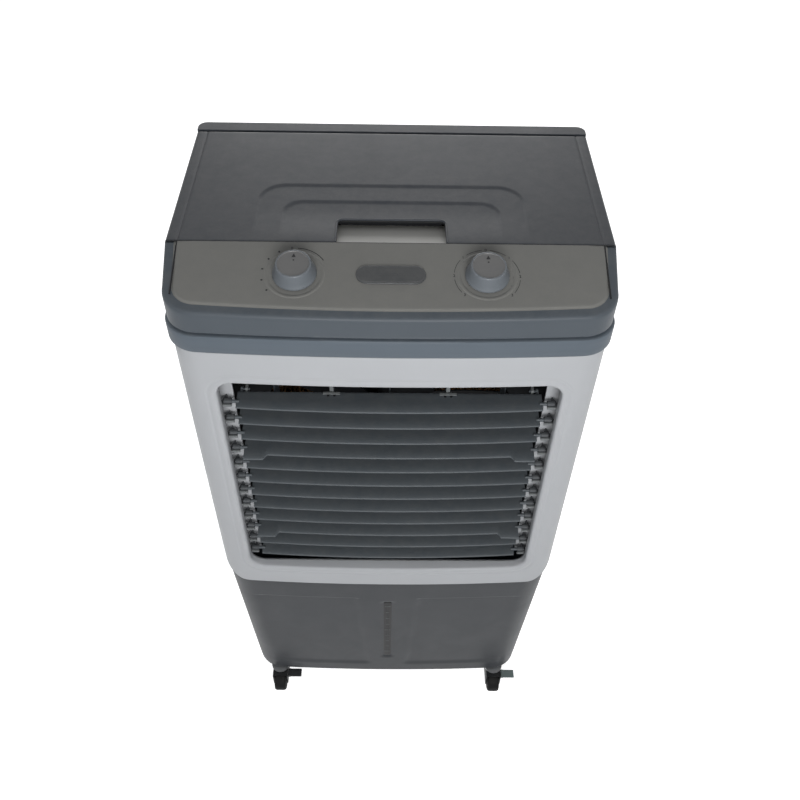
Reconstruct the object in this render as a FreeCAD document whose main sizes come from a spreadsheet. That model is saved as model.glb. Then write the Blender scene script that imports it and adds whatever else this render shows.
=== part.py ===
"""Portable evaporative cooler: water tank on castors, white cabinet, louvred front and grey cap.

Own frame in millimetres: +Z up, the front faces -Y, the origin is on the floor under the middle.
"""
import FreeCAD, Part
import math
import os
import re

Vector = FreeCAD.Vector
Rotation = FreeCAD.Rotation
Placement = FreeCAD.Placement

# ---------------------------------------------------------------- driving dimensions
DRIVING = {
    # overall
    "cap_width": 540, "cap_depth": 380, "body_width": 525, "wall": 3, "fit_gap": 0.3,
    "front_bow": 9, "seam_back": 110,
    # heights, from the floor up
    "tub_height": 367, "frame_height": 515, "collar_height": 27,
    "neck_height": 5, "cap_height": 53, "tank_lip": 38,
    # cap
    "panel_drop": 22, "cap_corner": 42, "panel_taper": 6, "strip_depth": 19.7,
    "lid_barrel": 6.5, "strip_gap": 0.8, "lid_swing_pin": 1.6, "notch_half": 67,
    "notch_deep": 50, "notch_corner": 8, "knuckle_x": 195, "knuckle_length": 24,
    "lug_width": 6, "pin_gap": 0.08, "seam_gap": 0.6, "tongue_half": 73,
    "tongue_reach": 62, "tongue_drop": 16,
    # knobs and badge
    "knob_x": 112, "control_row": 48, "knob_base": 25.8, "knob_top": 20.2, "knob_height": 19.5,
    "stem_radius": 3, "switch_side": 28, "switch_deep": 18, "bushing_radius": 5.5,
    "badge_length": 82, "badge_width": 26.5, "badge_thick": 1.6,
    # front frame and louvre
    "frame_depth": 49.5, "frame_corner": 38, "frame_foot_round": 45, "opening_width": 430,
    "opening_height": 418, "opening_corner": 22, "sill_height": 44, "flange_depth": 21,
    "blade_end": 17, "blade_front": 17, "blade_rear": 17, "blade_thick": 2.4,
    "blade_pitch": 31.2, "last_blade_rise": 17.5, "blade_pivot_back": 30, "blade_bow": 7,
    "pivot_radius": 2.5, "rail_edge": 12, "rail_cover": 6, "link_back": 24, "link_low": 2,
    "link_inset": 28, "link_pin": 2, "tab_length": 33, "tab_reach": 10,
    "post_x": 76, "post_width": 5, "post_deep": 4,
    # vertical vanes
    "vane_pitch": 76, "vane_chord": 39, "vane_thick": 2.4, "vane_back": 73,
    "tie_arm": 16, "vane_clear": 3, "rail_thick": 6, "tie_thick": 4,
    # fan
    "duct_radius": 186, "impeller_radius": 181, "hub_radius": 36, "motor_radius": 47.5,
    "shroud_back": 118, "duct_length": 70, "impeller_gap": 9, "shaft_radius": 4,
    # rear
    "grille_width": 440, "grille_height": 408, "grille_low": 470, "pad_width": 456,
    "pad_height": 420, "pad_thick": 46, "slot_pitch": 14, "slot_height": 8,
    "trough_height": 20, "mouth_rise": 16.5, "gland_x": 239, "gland_rise": 30,
    # tank
    "tank_bottom_half": 247.5, "tank_front_draft": 20, "tank_corner": 45, "window_width": 18,
    "window_low": 122, "window_height": 224, "pump_x": 200, "pump_y": 95, "pump_radius": 26,
    "hose_radius": 7, "drain_x": -150, "drain_level": 84, "drain_radius": 9,
    # castors
    "wheel_clear": 8, "castor_x": 207, "castor_front": 150, "castor_rear": 145, "wheel_radius": 21,
    "wheel_width": 22, "trail": 18, "axle_radius": 3, "pedal_length": 24,
}

BLADES = 12
VANES = 5


def derive(size):
    """Work out the levels and faces that several pieces share."""
    size["front"] = -size["cap_depth"] / 2
    size["rear"] = size["cap_depth"] / 2
    size["seam_y"] = size["front"] + size["seam_back"]
    size["body_half"] = size["body_width"] / 2
    size["cap_half"] = size["cap_width"] / 2
    size["tank_floor"] = 2 * size["wheel_radius"] + size["wheel_clear"]
    size["frame_low"] = size["tank_floor"] + size["tub_height"]
    size["tank_top"] = size["frame_low"] + size["tank_lip"]
    size["frame_top"] = size["frame_low"] + size["frame_height"]
    size["collar_top"] = size["frame_top"] + size["collar_height"]
    size["neck_top"] = size["collar_top"] + size["neck_height"]
    size["lid_level"] = size["neck_top"] + size["cap_height"]
    size["frame_front"] = size["front"] + 0.5
    size["frame_back"] = size["frame_front"] + size["frame_depth"]
    size["cabinet_front"] = size["frame_back"] + size["fit_gap"]
    size["cabinet_back"] = size["rear"] - 4
    size["opening_low"] = size["frame_low"] + size["sill_height"]
    size["opening_top"] = size["opening_low"] + size["opening_height"]
    size["opening_half"] = size["opening_width"] / 2
    size["blade_half"] = size["opening_half"] - size["blade_end"]
    size["rail_inner"] = size["opening_half"] - size["rail_edge"]
    size["link_x"] = size["opening_half"] - size["link_inset"]
    size["opening_mid"] = (size["opening_low"] + size["opening_top"]) / 2
    size["blade_y"] = size["front"] + size["blade_pivot_back"]
    size["blade_low"] = size["opening_low"] + size["last_blade_rise"]
    size["vane_y"] = size["front"] + size["vane_back"]
    size["vane_low"] = size["opening_low"] - size["vane_clear"]
    size["vane_high"] = size["opening_top"] - 2 * size["vane_clear"]
    size["top_rail_low"] = size["vane_high"] + 14
    size["low_rail_top"] = size["vane_low"] - size["vane_clear"]
    size["shroud_y"] = size["front"] + size["shroud_back"]
    size["hinge_y"] = size["rear"] - size["strip_depth"] - size["strip_gap"] - size["lid_barrel"]
    size["hinge_level"] = size["lid_level"] - size["lid_barrel"]
    size["strip_front"] = size["rear"] - size["strip_depth"]
    size["control_y"] = size["seam_y"] - size["control_row"]
    size["pad_low"] = size["grille_low"] - 6
    size["pad_back"] = size["cabinet_back"] - size["wall"] - size["fit_gap"]
    size["pad_front"] = size["pad_back"] - size["pad_thick"]
    return size


size = derive(dict(DRIVING))
doc = FreeCAD.newDocument("EvaporativeCooler")
sheet = doc.addObject("Spreadsheet::Sheet", "Dims")
for row, (alias, value) in enumerate(size.items(), start=1):
    sheet.set("A%d" % row, alias)
    sheet.set("B%d" % row, repr(value))
    sheet.setAlias("B%d" % row, alias)
doc.recompute()


class Sizes:
    """The sheet's numbers as attributes, for shapes that are made by code."""

    def __getattr__(self, alias):
        return float(sheet.get(alias))


D = Sizes()
nodes = []


# ---------------------------------------------------------------- building helpers
def bound(expression):
    """Point every alias in an expression at the sheet."""
    names = sorted(size, key=len, reverse=True)
    return re.sub(r"\b(%s)\b" % "|".join(names), r"Dims.\1", str(expression))


def bind(thing, **properties):
    """Bind properties such as Length to expressions over the sheet."""
    for name, expression in properties.items():
        thing.setExpression(name, bound(expression))
    return thing


AXES = {
    "X": Rotation(Vector(0, 1, 0), 90),
    "Y": Rotation(Vector(1, 0, 0), -90),
    "Z": Rotation(),
}


def put(thing, at, rotation=None):
    """Turn an object and tie its base point to the sheet."""
    thing.Placement = Placement(Vector(), rotation or Rotation())
    for letter, expression in zip("xyz", at):
        thing.setExpression("Placement.Base." + letter, bound(expression))
    return thing


def box(length, width, height, at, rotation=None):
    block = bind(doc.addObject("Part::Box", "Block"), Length=length, Width=width, Height=height)
    return put(block, at, rotation)


def centred_box(length, width, height, at):
    """A box whose X middle is at[0]; the other two start at at[1] and at[2]."""
    return box(length, width, height, ("%s - (%s) / 2" % (at[0], length), at[1], at[2]))


def cylinder(radius, height, at, axis="Z"):
    rod = bind(doc.addObject("Part::Cylinder", "Rod"), Radius=radius, Height=height)
    return put(rod, at, AXES[axis])


def fuse(*pieces):
    if len(pieces) == 1:
        return pieces[0]
    union = doc.addObject("Part::MultiFuse", "Union")
    union.Shapes = list(pieces)
    union.Refine = True
    return union


def cut(base, *tools):
    difference = doc.addObject("Part::Cut", "Difference")
    difference.Base = base
    difference.Tool = fuse(*tools)
    return difference


def group(*pieces):
    """Separate solids that share one node."""
    together = doc.addObject("Part::Compound", "Group")
    together.Links = list(pieces)
    return together


def coded(shape, name="Coded"):
    """A shape made by code from the sheet's sizes."""
    piece = doc.addObject("Part::Feature", name)
    piece.Shape = shape
    return piece


def node(label, piece):
    """Name a finished sub-part."""
    piece.Label = label
    nodes.append(piece)
    return piece


# ---------------------------------------------------------------- outlines
def flat(x, y):
    return Vector(x, y, 0)


def upright(x, z):
    return Vector(x, 0, z)


def sideways(y, z):
    return Vector(0, y, z)


def rounded(points, radii, place):
    """A closed polygon with its corners rounded to the given radii, laid in a plane by place()."""
    starts, ends, middles = [], [], []
    count = len(points)
    for index in range(count):
        corner = Vector(*points[index], 0)
        to_last = (Vector(*points[index - 1], 0) - corner).normalize()
        to_next = (Vector(*points[(index + 1) % count], 0) - corner).normalize()
        half = to_last.getAngle(to_next) / 2
        radius = radii[index]
        setback = radius / math.tan(half)
        bisector = (to_last + to_next).normalize()
        starts.append(corner + to_last * setback)
        ends.append(corner + to_next * setback)
        middles.append(corner + bisector * (radius / math.sin(half) - radius))
    edges = []
    for index in range(count):
        if radii[index] > 0:
            arc = [place(p.x, p.y) for p in (starts[index], middles[index], ends[index])]
            edges.append(Part.Arc(*arc).toShape())
        here = place(ends[index].x, ends[index].y)
        after = starts[(index + 1) % count]
        there = place(after.x, after.y)
        if here.distanceToPoint(there) > 1e-6:
            edges.append(Part.LineSegment(here, there).toShape())
    return Part.Wire(edges)


def rectangle(half, low, high, low_round, high_round, place):
    """A rounded rectangle centred on the first axis, between two levels of the second."""
    points = [(-half, low), (half, low), (half, high), (-half, high)]
    return rounded(points, [low_round, low_round, high_round, high_round], place)


def plan(half, front, rear, bow, front_round, rear_half=None):
    """Outline from above: a bowed front, round front corners and a straight rear."""
    rear_half = rear_half or half
    bend = (half ** 2 + bow ** 2) / (2 * bow)
    middle = front + bend
    corner_x = half - front_round
    corner_y = middle - math.sqrt((bend - front_round) ** 2 - corner_x ** 2)
    reach = bend / (bend - front_round)
    touch = Vector(corner_x * reach, middle + (corner_y - middle) * reach, 0)
    centre = Vector(corner_x, corner_y, 0)
    outward = ((touch - centre).normalize() + Vector(1, 0, 0)).normalize()
    turn = centre + outward * front_round
    side = Vector(half, corner_y, 0)
    back = Vector(rear_half, rear, 0)

    def mirror(point):
        return Vector(-point.x, point.y, 0)

    return Part.Wire([
        Part.Arc(mirror(touch), Vector(0, front, 0), touch).toShape(),
        Part.Arc(touch, turn, side).toShape(),
        Part.LineSegment(side, back).toShape(),
        Part.LineSegment(back, mirror(back)).toShape(),
        Part.LineSegment(mirror(back), mirror(side)).toShape(),
        Part.Arc(mirror(side), mirror(turn), mirror(touch)).toShape(),
    ])


def raise_wire(wire, low, high):
    """Extrude an outline in XY between two levels."""
    solid = Part.Face(wire).extrude(Vector(0, 0, high - low))
    solid.translate(Vector(0, 0, low))
    return solid


def push_wire(wire, start, end):
    """Extrude an outline in XZ between two depths."""
    solid = Part.Face(wire).extrude(Vector(0, end - start, 0))
    solid.translate(Vector(0, start, 0))
    return solid


def span_wire(wire, start, end):
    """Extrude an outline in YZ between two sides."""
    solid = Part.Face(wire).extrude(Vector(end - start, 0, 0))
    solid.translate(Vector(start, 0, 0))
    return solid


def block(x, y, z):
    """A plain solid from three (low, high) pairs."""
    solid = Part.makeBox(x[1] - x[0], y[1] - y[0], z[1] - z[0])
    solid.translate(Vector(x[0], y[0], z[0]))
    return solid


# ---------------------------------------------------------------- water tank
def tub_solid(inset):
    """The tapered tub, drawn in by inset all round and raised by it at the floor."""
    low = D.tank_floor + inset
    high = D.frame_low - D.fit_gap - inset
    top_half = D.body_half - 0.5
    drawn = []
    for level in (low, high):
        share = (level - D.tank_floor) / D.tub_height
        half = D.tank_bottom_half + (top_half - D.tank_bottom_half) * share - inset
        front = D.frame_front + 4 + D.tank_front_draft * (1 - share) + inset
        rear = D.cabinet_back - D.tank_front_draft * (1 - share) - inset
        outline = plan(half, front, rear, D.front_bow, D.tank_corner - inset)
        outline.translate(Vector(0, 0, level))
        drawn.append(outline)
    return Part.makeLoft(drawn, True, True)


def tank_parts():
    """The tank shell and the clear strip that fills its window slot."""
    outer_lip = block((-D.body_half, D.body_half), (D.cabinet_front, D.cabinet_back),
                      (D.frame_low - D.tank_lip, D.tank_top))
    inner_lip = block((D.wall - D.body_half, D.body_half - D.wall),
                      (D.cabinet_front + D.wall, D.cabinet_back - D.wall),
                      (D.frame_low - D.tank_lip - D.wall, D.tank_top + 1))
    outer = tub_solid(0).fuse(outer_lip)
    inner = tub_solid(D.wall).fuse(inner_lip)
    shell = outer.cut(inner)
    front_zone = (D.front, D.front + D.cap_depth / 4)

    def slot(gap):
        return block((gap - D.window_width / 2, D.window_width / 2 - gap), front_zone,
                     (D.window_low + gap, D.window_low + D.window_height - gap))

    window = shell.common(slot(D.fit_gap))
    drain = Part.makeCylinder(D.drain_radius + D.fit_gap, D.cap_depth / 4,
                              Vector(D.drain_x, D.cap_depth / 4, D.drain_level), Vector(0, 1, 0))
    arch_depth = 5
    arch_half = 170
    arch_radius = (arch_half ** 2 + arch_depth ** 2) / (2 * arch_depth)
    arch = Part.makeCylinder(arch_radius, D.cap_depth,
                             Vector(0, D.front, D.tank_floor + 1.5 - arch_radius), Vector(0, 1, 0))
    stems = [Part.makeCylinder(4 + D.fit_gap, 12, Vector(x, y, D.tank_floor - 1))
             for x in (-D.castor_x, D.castor_x) for y in (-D.castor_front, D.castor_rear)]
    shell = shell.cut([slot(0), drain, arch] + stems)
    return shell, window


tank_shell, window_strip = tank_parts()
node("water_tank", coded(tank_shell, "Tank"))
node("level_window", coded(window_strip, "Window"))

plug_y = "cabinet_back - tank_front_draft * (1 - (drain_level - tank_floor) / tub_height)"
plug_head = cylinder("drain_radius + 4", 5, ("drain_x", plug_y + " + fit_gap + 1", "drain_level"), "Y")
plug_neck = cylinder("drain_radius", "wall + 6", ("drain_x", plug_y + " - wall - 3", "drain_level"), "Y")
node("drain_plug", fuse(plug_head, plug_neck))

pump_base = "tank_floor + wall + fit_gap"
pump_case = cylinder("pump_radius", 62, ("pump_x", "pump_y", pump_base))
pump_foot = centred_box("2 * pump_radius + 8", "2 * pump_radius + 8", 5,
                        ("pump_x", "pump_y - pump_radius - 4", pump_base))
pump_spout = cylinder("hose_radius - 2.1", 16, ("pump_x", "pump_y", pump_base + " + 60"))
node("pump", fuse(pump_case, pump_foot, pump_spout))


# ---------------------------------------------------------------- water hose and distributor
def hose_solid():
    """A riser from the pump, one wide bend, and a short run back into the trough."""
    low = D.tank_floor + D.wall + 63
    high = D.pad_low + D.pad_height + D.mouth_rise
    bend = 22
    mouth = D.pad_front + 3
    top = Vector(D.pump_x, D.pump_y, high - bend)
    middle = Vector(D.pump_x, D.pump_y + bend * (1 - math.cos(math.pi / 4)),
                    high - bend * (1 - math.sin(math.pi / 4)))
    across = Vector(D.pump_x, D.pump_y + bend, high)
    route = Part.Wire([
        Part.LineSegment(Vector(D.pump_x, D.pump_y, low), top).toShape(),
        Part.Arc(top, middle, across).toShape(),
        Part.LineSegment(across, Vector(D.pump_x, mouth, high)).toShape(),
    ])

    def tube(radius):
        ring = Part.Wire([Part.makeCircle(radius, Vector(D.pump_x, D.pump_y, low), Vector(0, 0, 1))])
        return route.makePipeShell([ring], True, False)

    return tube(D.hose_radius).cut(tube(D.hose_radius - 2))


node("pump_hose", coded(hose_solid(), "Hose"))

trough_low = "pad_low + pad_height + fit_gap + 5"
trough = centred_box("pad_width", "pad_thick - 2", "trough_height", ("0", "pad_front + 1", trough_low))
trough_room = centred_box("pad_width - 5", "pad_thick - 7", "trough_height",
                          ("0", "pad_front + 3.5", trough_low + " + 2.5"))
drips = [cylinder(2, 6, ("%d" % x, "(pad_front + pad_back) / 2", trough_low + " - 1"))
         for x in range(-200, 201, 50)]
trough_mouth = cylinder("hose_radius + fit_gap", 8, ("pump_x", "pad_front - 2",
                                                     "pad_low + pad_height + mouth_rise"), "Y")
ears = [centred_box(3, "pad_thick - 2", 5.3, (x, "pad_front + 1", "pad_low + pad_height"))
        for x in ("pad_width / 2 - 1.5", "1.5 - pad_width / 2")]
node("water_distributor", cut(fuse(trough, *ears), trough_room, trough_mouth, *drips))

node("cooling_pad", centred_box("pad_width", "pad_thick", "pad_height", ("0", "pad_front", "pad_low")))


# ---------------------------------------------------------------- cabinet and rear grille
def cabinet_solid():
    """White shell behind the front frame, open in front, with a window for the rear grille."""
    low = D.tank_top + D.fit_gap
    high = D.frame_top - D.fit_gap
    corner = 14
    outline = rounded([(-D.body_half, D.cabinet_front), (D.body_half, D.cabinet_front),
                       (D.body_half, D.cabinet_back), (-D.body_half, D.cabinet_back)],
                      [0, 0, corner, corner], flat)
    room = rounded([(D.wall - D.body_half, D.front), (D.body_half - D.wall, D.front),
                    (D.body_half - D.wall, D.cabinet_back - D.wall),
                    (D.wall - D.body_half, D.cabinet_back - D.wall)],
                   [0, 0, corner - D.wall, corner - D.wall], flat)
    shell = raise_wire(outline, low, high).cut(raise_wire(room, low - 1, high + 1))
    rear_window = rectangle(D.grille_width / 2 - 12, D.grille_low + 12,
                            D.grille_low + D.grille_height - 12, 10, 10, upright)
    shelf = block((-D.pad_width / 2 - 6, D.pad_width / 2 + 6),
                  (D.pad_front - 3, D.cabinet_back - D.wall + 1), (D.pad_low - 3.3, D.pad_low - 0.3))
    lip = block((-D.pad_width / 2 - 6, D.pad_width / 2 + 6),
                (D.pad_front - 3, D.pad_front - 0.8), (D.pad_low - 3.3, D.pad_low + 8))
    shell = shell.fuse([shelf, lip])
    gland = Part.makeCylinder(7 + D.fit_gap, 20, Vector(D.gland_x, D.cabinet_back - 12, D.tank_top + D.gland_rise),
                              Vector(0, 1, 0))
    drips = [Part.makeCylinder(4, 10, Vector(x, (D.pad_front + D.pad_back) / 2, D.pad_low - 6))
             for x in range(-200, 201, 40)]
    shell = shell.cut([push_wire(rear_window, D.pad_back, D.rear), gland] + screw_rods(1.65) + drips)
    return shell


def screw_places():
    half = D.grille_width / 2 - 7
    return [(x, z) for x in (-half, half)
            for z in (D.grille_low + 7, D.grille_low + D.grille_height - 7)]


def screw_rods(radius):
    return [Part.makeCylinder(radius, 24, Vector(x, D.rear - 16, z), Vector(0, 1, 0))
            for x, z in screw_places()]


def grille_solid():
    """Rear grille: a plate with rows of slots in three columns."""
    outline = rectangle(D.grille_width / 2, D.grille_low, D.grille_low + D.grille_height, 14, 14, upright)
    plate = push_wire(outline, D.cabinet_back, D.cabinet_back + 2.5)
    rows = int((D.grille_height - 40) / D.slot_pitch)
    column = (D.grille_width - 60) / 3
    slots = []
    for row in range(rows):
        low = D.grille_low + 20 + row * D.slot_pitch
        for side in (-1, 0, 1):
            middle = side * (column + 8)
            slots.append(block((middle - column / 2, middle + column / 2),
                               (D.cabinet_back - 1, D.cabinet_back + 4), (low, low + D.slot_height)))
    return plate.cut(slots + screw_rods(2.1))


node("cabinet", coded(cabinet_solid(), "Cabinet"))
node("rear_grille", coded(grille_solid(), "Grille"))


def screw_solid(x, z):
    head = Part.makeCylinder(3.8, 1.5, Vector(x, D.cabinet_back + 2.5, z), Vector(0, 1, 0))
    rod = Part.makeCylinder(1.6, D.wall + 3, Vector(x, D.cabinet_back - D.wall, z), Vector(0, 1, 0))
    recess = block((x - 2.4, x + 2.4), (D.cabinet_back + 3.2, D.cabinet_back + 5), (z - 0.5, z + 0.5))
    return head.fuse(rod).cut(recess)


node("cabinet_screws", coded(Part.makeCompound([screw_solid(x, z) for x, z in screw_places()]), "Screws"))

gland_at = ("gland_x", "cabinet_back - 9", "tank_top + gland_rise")
gland_flange = cylinder(9, 2.5, ("gland_x", "cabinet_back", "tank_top + gland_rise"), "Y")
gland_barrel = cylinder(7, 9.5, gland_at, "Y")
gland_bore = cylinder(3.6, 20, ("gland_x", "cabinet_back - 12", "tank_top + gland_rise"), "Y")
node("cord_gland", cut(fuse(gland_flange, gland_barrel), gland_bore))


# ---------------------------------------------------------------- front frame
def frame_solid():
    """White front frame: bowed shell with a rounded opening and a return flange round it."""
    outer = raise_wire(plan(D.body_half, D.frame_front, D.frame_back, D.front_bow, D.frame_corner),
                       D.frame_low, D.frame_top - D.fit_gap)
    feet = rectangle(D.body_half, D.frame_low, D.frame_top, D.frame_foot_round, 0, upright)
    outer = outer.common(push_wire(feet, D.front - 1, D.rear))
    room = raise_wire(plan(D.body_half - D.wall, D.frame_front + D.wall, D.frame_back + 1, D.front_bow,
                           D.frame_corner - D.wall), D.frame_low, D.frame_top)
    clear = rectangle(D.body_half - D.wall, D.frame_low + D.wall, D.frame_top - 2 * D.wall,
                      D.frame_foot_round - D.wall, 4, upright)
    shell = outer.cut(room.common(push_wire(clear, D.front - 1, D.rear)))
    half = D.opening_half
    hole = push_wire(rectangle(half, D.opening_low, D.opening_top, D.opening_corner,
                               D.opening_corner, upright), D.front - 1, D.frame_back)
    sleeve = push_wire(rectangle(half + D.wall, D.opening_low - D.wall, D.opening_top + D.wall,
                                 D.opening_corner + D.wall, D.opening_corner + D.wall, upright),
                       D.front - 1, D.frame_front + D.flange_depth)
    return shell.fuse(sleeve.common(outer)).cut(hole)


node("front_frame", coded(frame_solid(), "Frame"))


# ---------------------------------------------------------------- louvre
def blade_level(index):
    """Level of blade 1 (top) to 12 (bottom), as an expression."""
    return "(blade_low + %d * blade_pitch)" % (BLADES - index)


def blade_plate(tabbed):
    """Flat plate with a bowed front edge; two blades carry finger tabs at both ends."""
    half = D.blade_half
    front = -D.blade_front
    ends = front + D.blade_bow
    outline = [Part.Arc(Vector(-half, ends, 0), Vector(0, front, 0), Vector(half, ends, 0)).toShape(),
               Part.LineSegment(Vector(half, ends, 0), Vector(half, D.blade_rear, 0)).toShape(),
               Part.LineSegment(Vector(half, D.blade_rear, 0), Vector(-half, D.blade_rear, 0)).toShape(),
               Part.LineSegment(Vector(-half, D.blade_rear, 0), Vector(-half, ends, 0)).toShape()]
    low, high = -D.blade_thick / 2, D.blade_thick / 2
    plate = raise_wire(Part.Wire(outline), low, high)
    if tabbed:
        for side in (-1, 1):
            near, far = side * (half - D.tab_length), side * half
            points = [(near, ends + 4), (near, ends - D.tab_reach), (far, ends - D.tab_reach), (far, ends + 4)]
            plate = plate.fuse(raise_wire(rounded(points, [0, 8, 3, 0], flat), low, high))
    return plate.removeSplitter()


def add_blade(index):
    level = blade_level(index)
    plate = coded(blade_plate(index in (4, 10)), "BladePlate")
    put(plate, ("0", "blade_y", level))
    pieces = [plate]
    for side in (-1, 1):
        pin_start = "%d * (blade_half + 6) - 8" % side
        pieces.append(cylinder("pivot_radius", 16, (pin_start, "blade_y", level), "X"))
        arm_start = "%d * (link_x + 6.5) - 1.5" % side
        pieces.append(box(3, "link_back - 5", 5, (arm_start, "blade_y + 8", level + " - link_low - 2.5")))
        pieces.append(cylinder(3.5, 3, (arm_start, "blade_y + link_back", level + " - link_low"), "X"))
        link_start = "%d * (link_x + 1.5) - 5" % side
        pieces.append(cylinder("link_pin", 10, (link_start, "blade_y + link_back", level + " - link_low"), "X"))
    node("louvre_blade_%02d" % index, fuse(*pieces))


for number in range(1, BLADES + 1):
    add_blade(number)


def add_link_bars(label, top, bottom):
    """Two upright bars, one at each end, that join the pins of one group of blades."""
    length = "(%d * blade_pitch + 12)" % (bottom - top)
    low = blade_level(bottom) + " - link_low - 6"
    bars = []
    for side in (-1, 1):
        bar = box(3, 8, length, ("%d * link_x - 1.5" % side, "blade_y + link_back - 4", low))
        holes = [cylinder("link_pin + fit_gap", 8, ("%d * link_x - 4" % side, "blade_y + link_back",
                                                    blade_level(index) + " - link_low"), "X")
                 for index in range(top, bottom + 1)]
        bars.append(cut(bar, *holes))
    node(label, group(*bars))


add_link_bars("link_bars_upper", 1, 6)
add_link_bars("link_bars_lower", 7, 12)


def add_side_rails():
    """An upright strip each side with a small bracket that carries each blade's pivot."""
    rails = []
    for side in (-1, 1):
        width = "(opening_half + rail_cover - rail_inner)"
        left = "rail_inner" if side > 0 else "-(opening_half + rail_cover)"
        bracket_front = "(frame_front + flange_depth + fit_gap)"
        pieces = [box(width, 4, "opening_height + 2 * rail_cover",
                      (left, "blade_y + 12", "opening_low - rail_cover"))]
        holes = []
        for index in range(1, BLADES + 1):
            level = blade_level(index)
            pieces.append(box(width, 9, 9, (left, "blade_y - 4.5", level + " - 4.5")))
            pieces.append(box(width, "blade_y + 13 - " + bracket_front, 2.5,
                              (left, bracket_front, level + " - 1.25")))
            holes.append(cylinder("pivot_radius + pin_gap", 40,
                                  ("%d * rail_inner - 20" % side, "blade_y", level), "X"))
        rails.append(cut(fuse(*pieces), *holes))
    node("louvre_side_rails", group(*rails))


add_side_rails()


def add_mid_posts():
    posts = []
    post_y = "blade_y + blade_rear + 0.8"
    for side in (-1, 1):
        strip = centred_box("post_width", "post_deep", "top_rail_low - low_rail_top - 2 * fit_gap",
                            ("%d * post_x" % side, post_y, "low_rail_top + fit_gap"))
        feet = [centred_box("2 * post_width", "post_deep", 3,
                            ("%d * post_x" % side, post_y, blade_level(index) + " - 6"))
                for index in range(1, BLADES + 1)]
        posts.append(fuse(strip, *feet))
    node("louvre_mid_posts", group(*posts))


add_mid_posts()


# ---------------------------------------------------------------- vertical vanes
def vane_x(index):
    return "(%d * vane_pitch)" % (index - (VANES + 1) // 2)


def add_vane(index):
    across = vane_x(index)
    blade = centred_box("vane_thick", "vane_chord", "vane_high - vane_low",
                        (across, "vane_y - vane_chord / 2", "vane_low"))
    top_pin = cylinder("pivot_radius", "top_rail_low - vane_high + 5", (across, "vane_y", "vane_high - 1"))
    low_pin = cylinder("pivot_radius", "vane_low - low_rail_top + 5",
                       (across, "vane_y", "low_rail_top - 4"))
    tie_pin = cylinder(2, 9, (across, "vane_y + tie_arm", "vane_high - 1"))
    node("swing_vane_%d" % index, fuse(blade, top_pin, low_pin, tie_pin))


for number in range(1, VANES + 1):
    add_vane(number)

tie_low = "vane_high + 2"
tie_y = "vane_y + tie_arm"
tie_bar = box("(%d * vane_pitch) + 58" % (VANES - 1), 8, "tie_thick",
              ("%s - 6" % vane_x(1), tie_y + " - 4", tie_low))
tie_holes = [cylinder("2 + fit_gap", 10, (vane_x(index), tie_y, tie_low + " - 2"))
             for index in range(1, VANES + 1)]
crank_x = "(%s + 36)" % vane_x(VANES)
yoke_slot = centred_box(6, 4.6, 10, (crank_x, tie_y + " - 2.3", tie_low + " - 2"))
node("vane_tie_bar", cut(tie_bar, yoke_slot, *tie_holes))

crank_low = tie_low + " + tie_thick + 1"
crank_disc = cylinder(9, 3.5, (crank_x, "vane_y + tie_arm", crank_low))
crank_pin = cylinder(1.8, 1.5, (crank_x, "vane_y + tie_arm - 5", crank_low + " - 0.6"))
crank_stem = cylinder(2.5, "top_rail_low + rail_thick - vane_high - 2 - tie_thick + 6",
                      (crank_x, "vane_y + tie_arm", crank_low))
node("swing_crank", fuse(crank_disc, crank_pin, crank_stem))

motor_low = "top_rail_low + rail_thick + fit_gap"
swing_can = cylinder(23, 19, (crank_x, tie_y, motor_low))
swing_bore = cylinder("2.5 + pin_gap", 12, (crank_x, tie_y, motor_low + " - 1"))
node("swing_motor", cut(swing_can, swing_bore))


# ---------------------------------------------------------------- fan
def shroud_solids():
    """Fan panel, its duct ring, the motor cradle on four arms, and the two rails of the vanes."""
    back = D.shroud_y
    axis = Vector(0, 1, 0)
    half = D.body_half - D.wall - D.fit_gap
    low, high = D.tank_top + 3 * D.fit_gap + 2, D.frame_top - 3

    def disc(radius, start, length):
        return Part.makeCylinder(radius, length, Vector(0, start, D.opening_mid), axis)

    cradle_y = back + D.duct_length - 12
    seat = disc(D.motor_radius + D.fit_gap, cradle_y - 5, 30)
    panel = block((-half, half), (back, back + D.wall), (low, high)).cut(disc(D.duct_radius, back - 1, 10))
    ring = disc(D.duct_radius + D.wall, back + D.wall, D.duct_length - D.wall)
    ring = ring.cut(disc(D.duct_radius, back, D.duct_length + 2))
    arms = []
    for turn in range(4):
        arm = Part.makeBox(D.duct_radius - D.motor_radius, 8, 9)
        arm.translate(Vector(D.motor_radius + 2, cradle_y + 2, -4.5))
        arm.rotate(Vector(), axis, 45 + 90 * turn)
        arm.translate(Vector(0, 0, D.opening_mid))
        arms.append(arm)
    cradle = disc(D.motor_radius + 5, cradle_y, 12).fuse(arms).cut(seat)
    cradle = cradle.common(disc(D.duct_radius, back, D.duct_length + 2))
    front = D.cabinet_front + D.wall + 1.5
    rail_half = D.body_half - 62.5
    pins = [Part.makeCylinder(D.pivot_radius + D.pin_gap, D.opening_height + 80,
                              Vector((k - (VANES - 1) / 2) * D.vane_pitch, D.vane_y, D.opening_low - 30))
            for k in range(VANES)]
    crank = Part.makeCylinder(3.2, 20, Vector((VANES - 1) / 2 * D.vane_pitch + 36, D.vane_y + D.tie_arm,
                                              D.top_rail_low - 5))
    rails = []
    for rail_low in (D.top_rail_low, D.low_rail_top - D.rail_thick):
        rail = block((-rail_half, rail_half), (front, back), (rail_low, rail_low + D.rail_thick))
        rails.append(rail.cut(pins + [crank]))
    hanger = block((-rail_half, rail_half), (back, back + D.wall), (D.low_rail_top - D.rail_thick, low))
    return Part.makeCompound([panel, ring, cradle, hanger] + rails)


node("fan_shroud", coded(shroud_solids(), "Shroud"))


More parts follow.
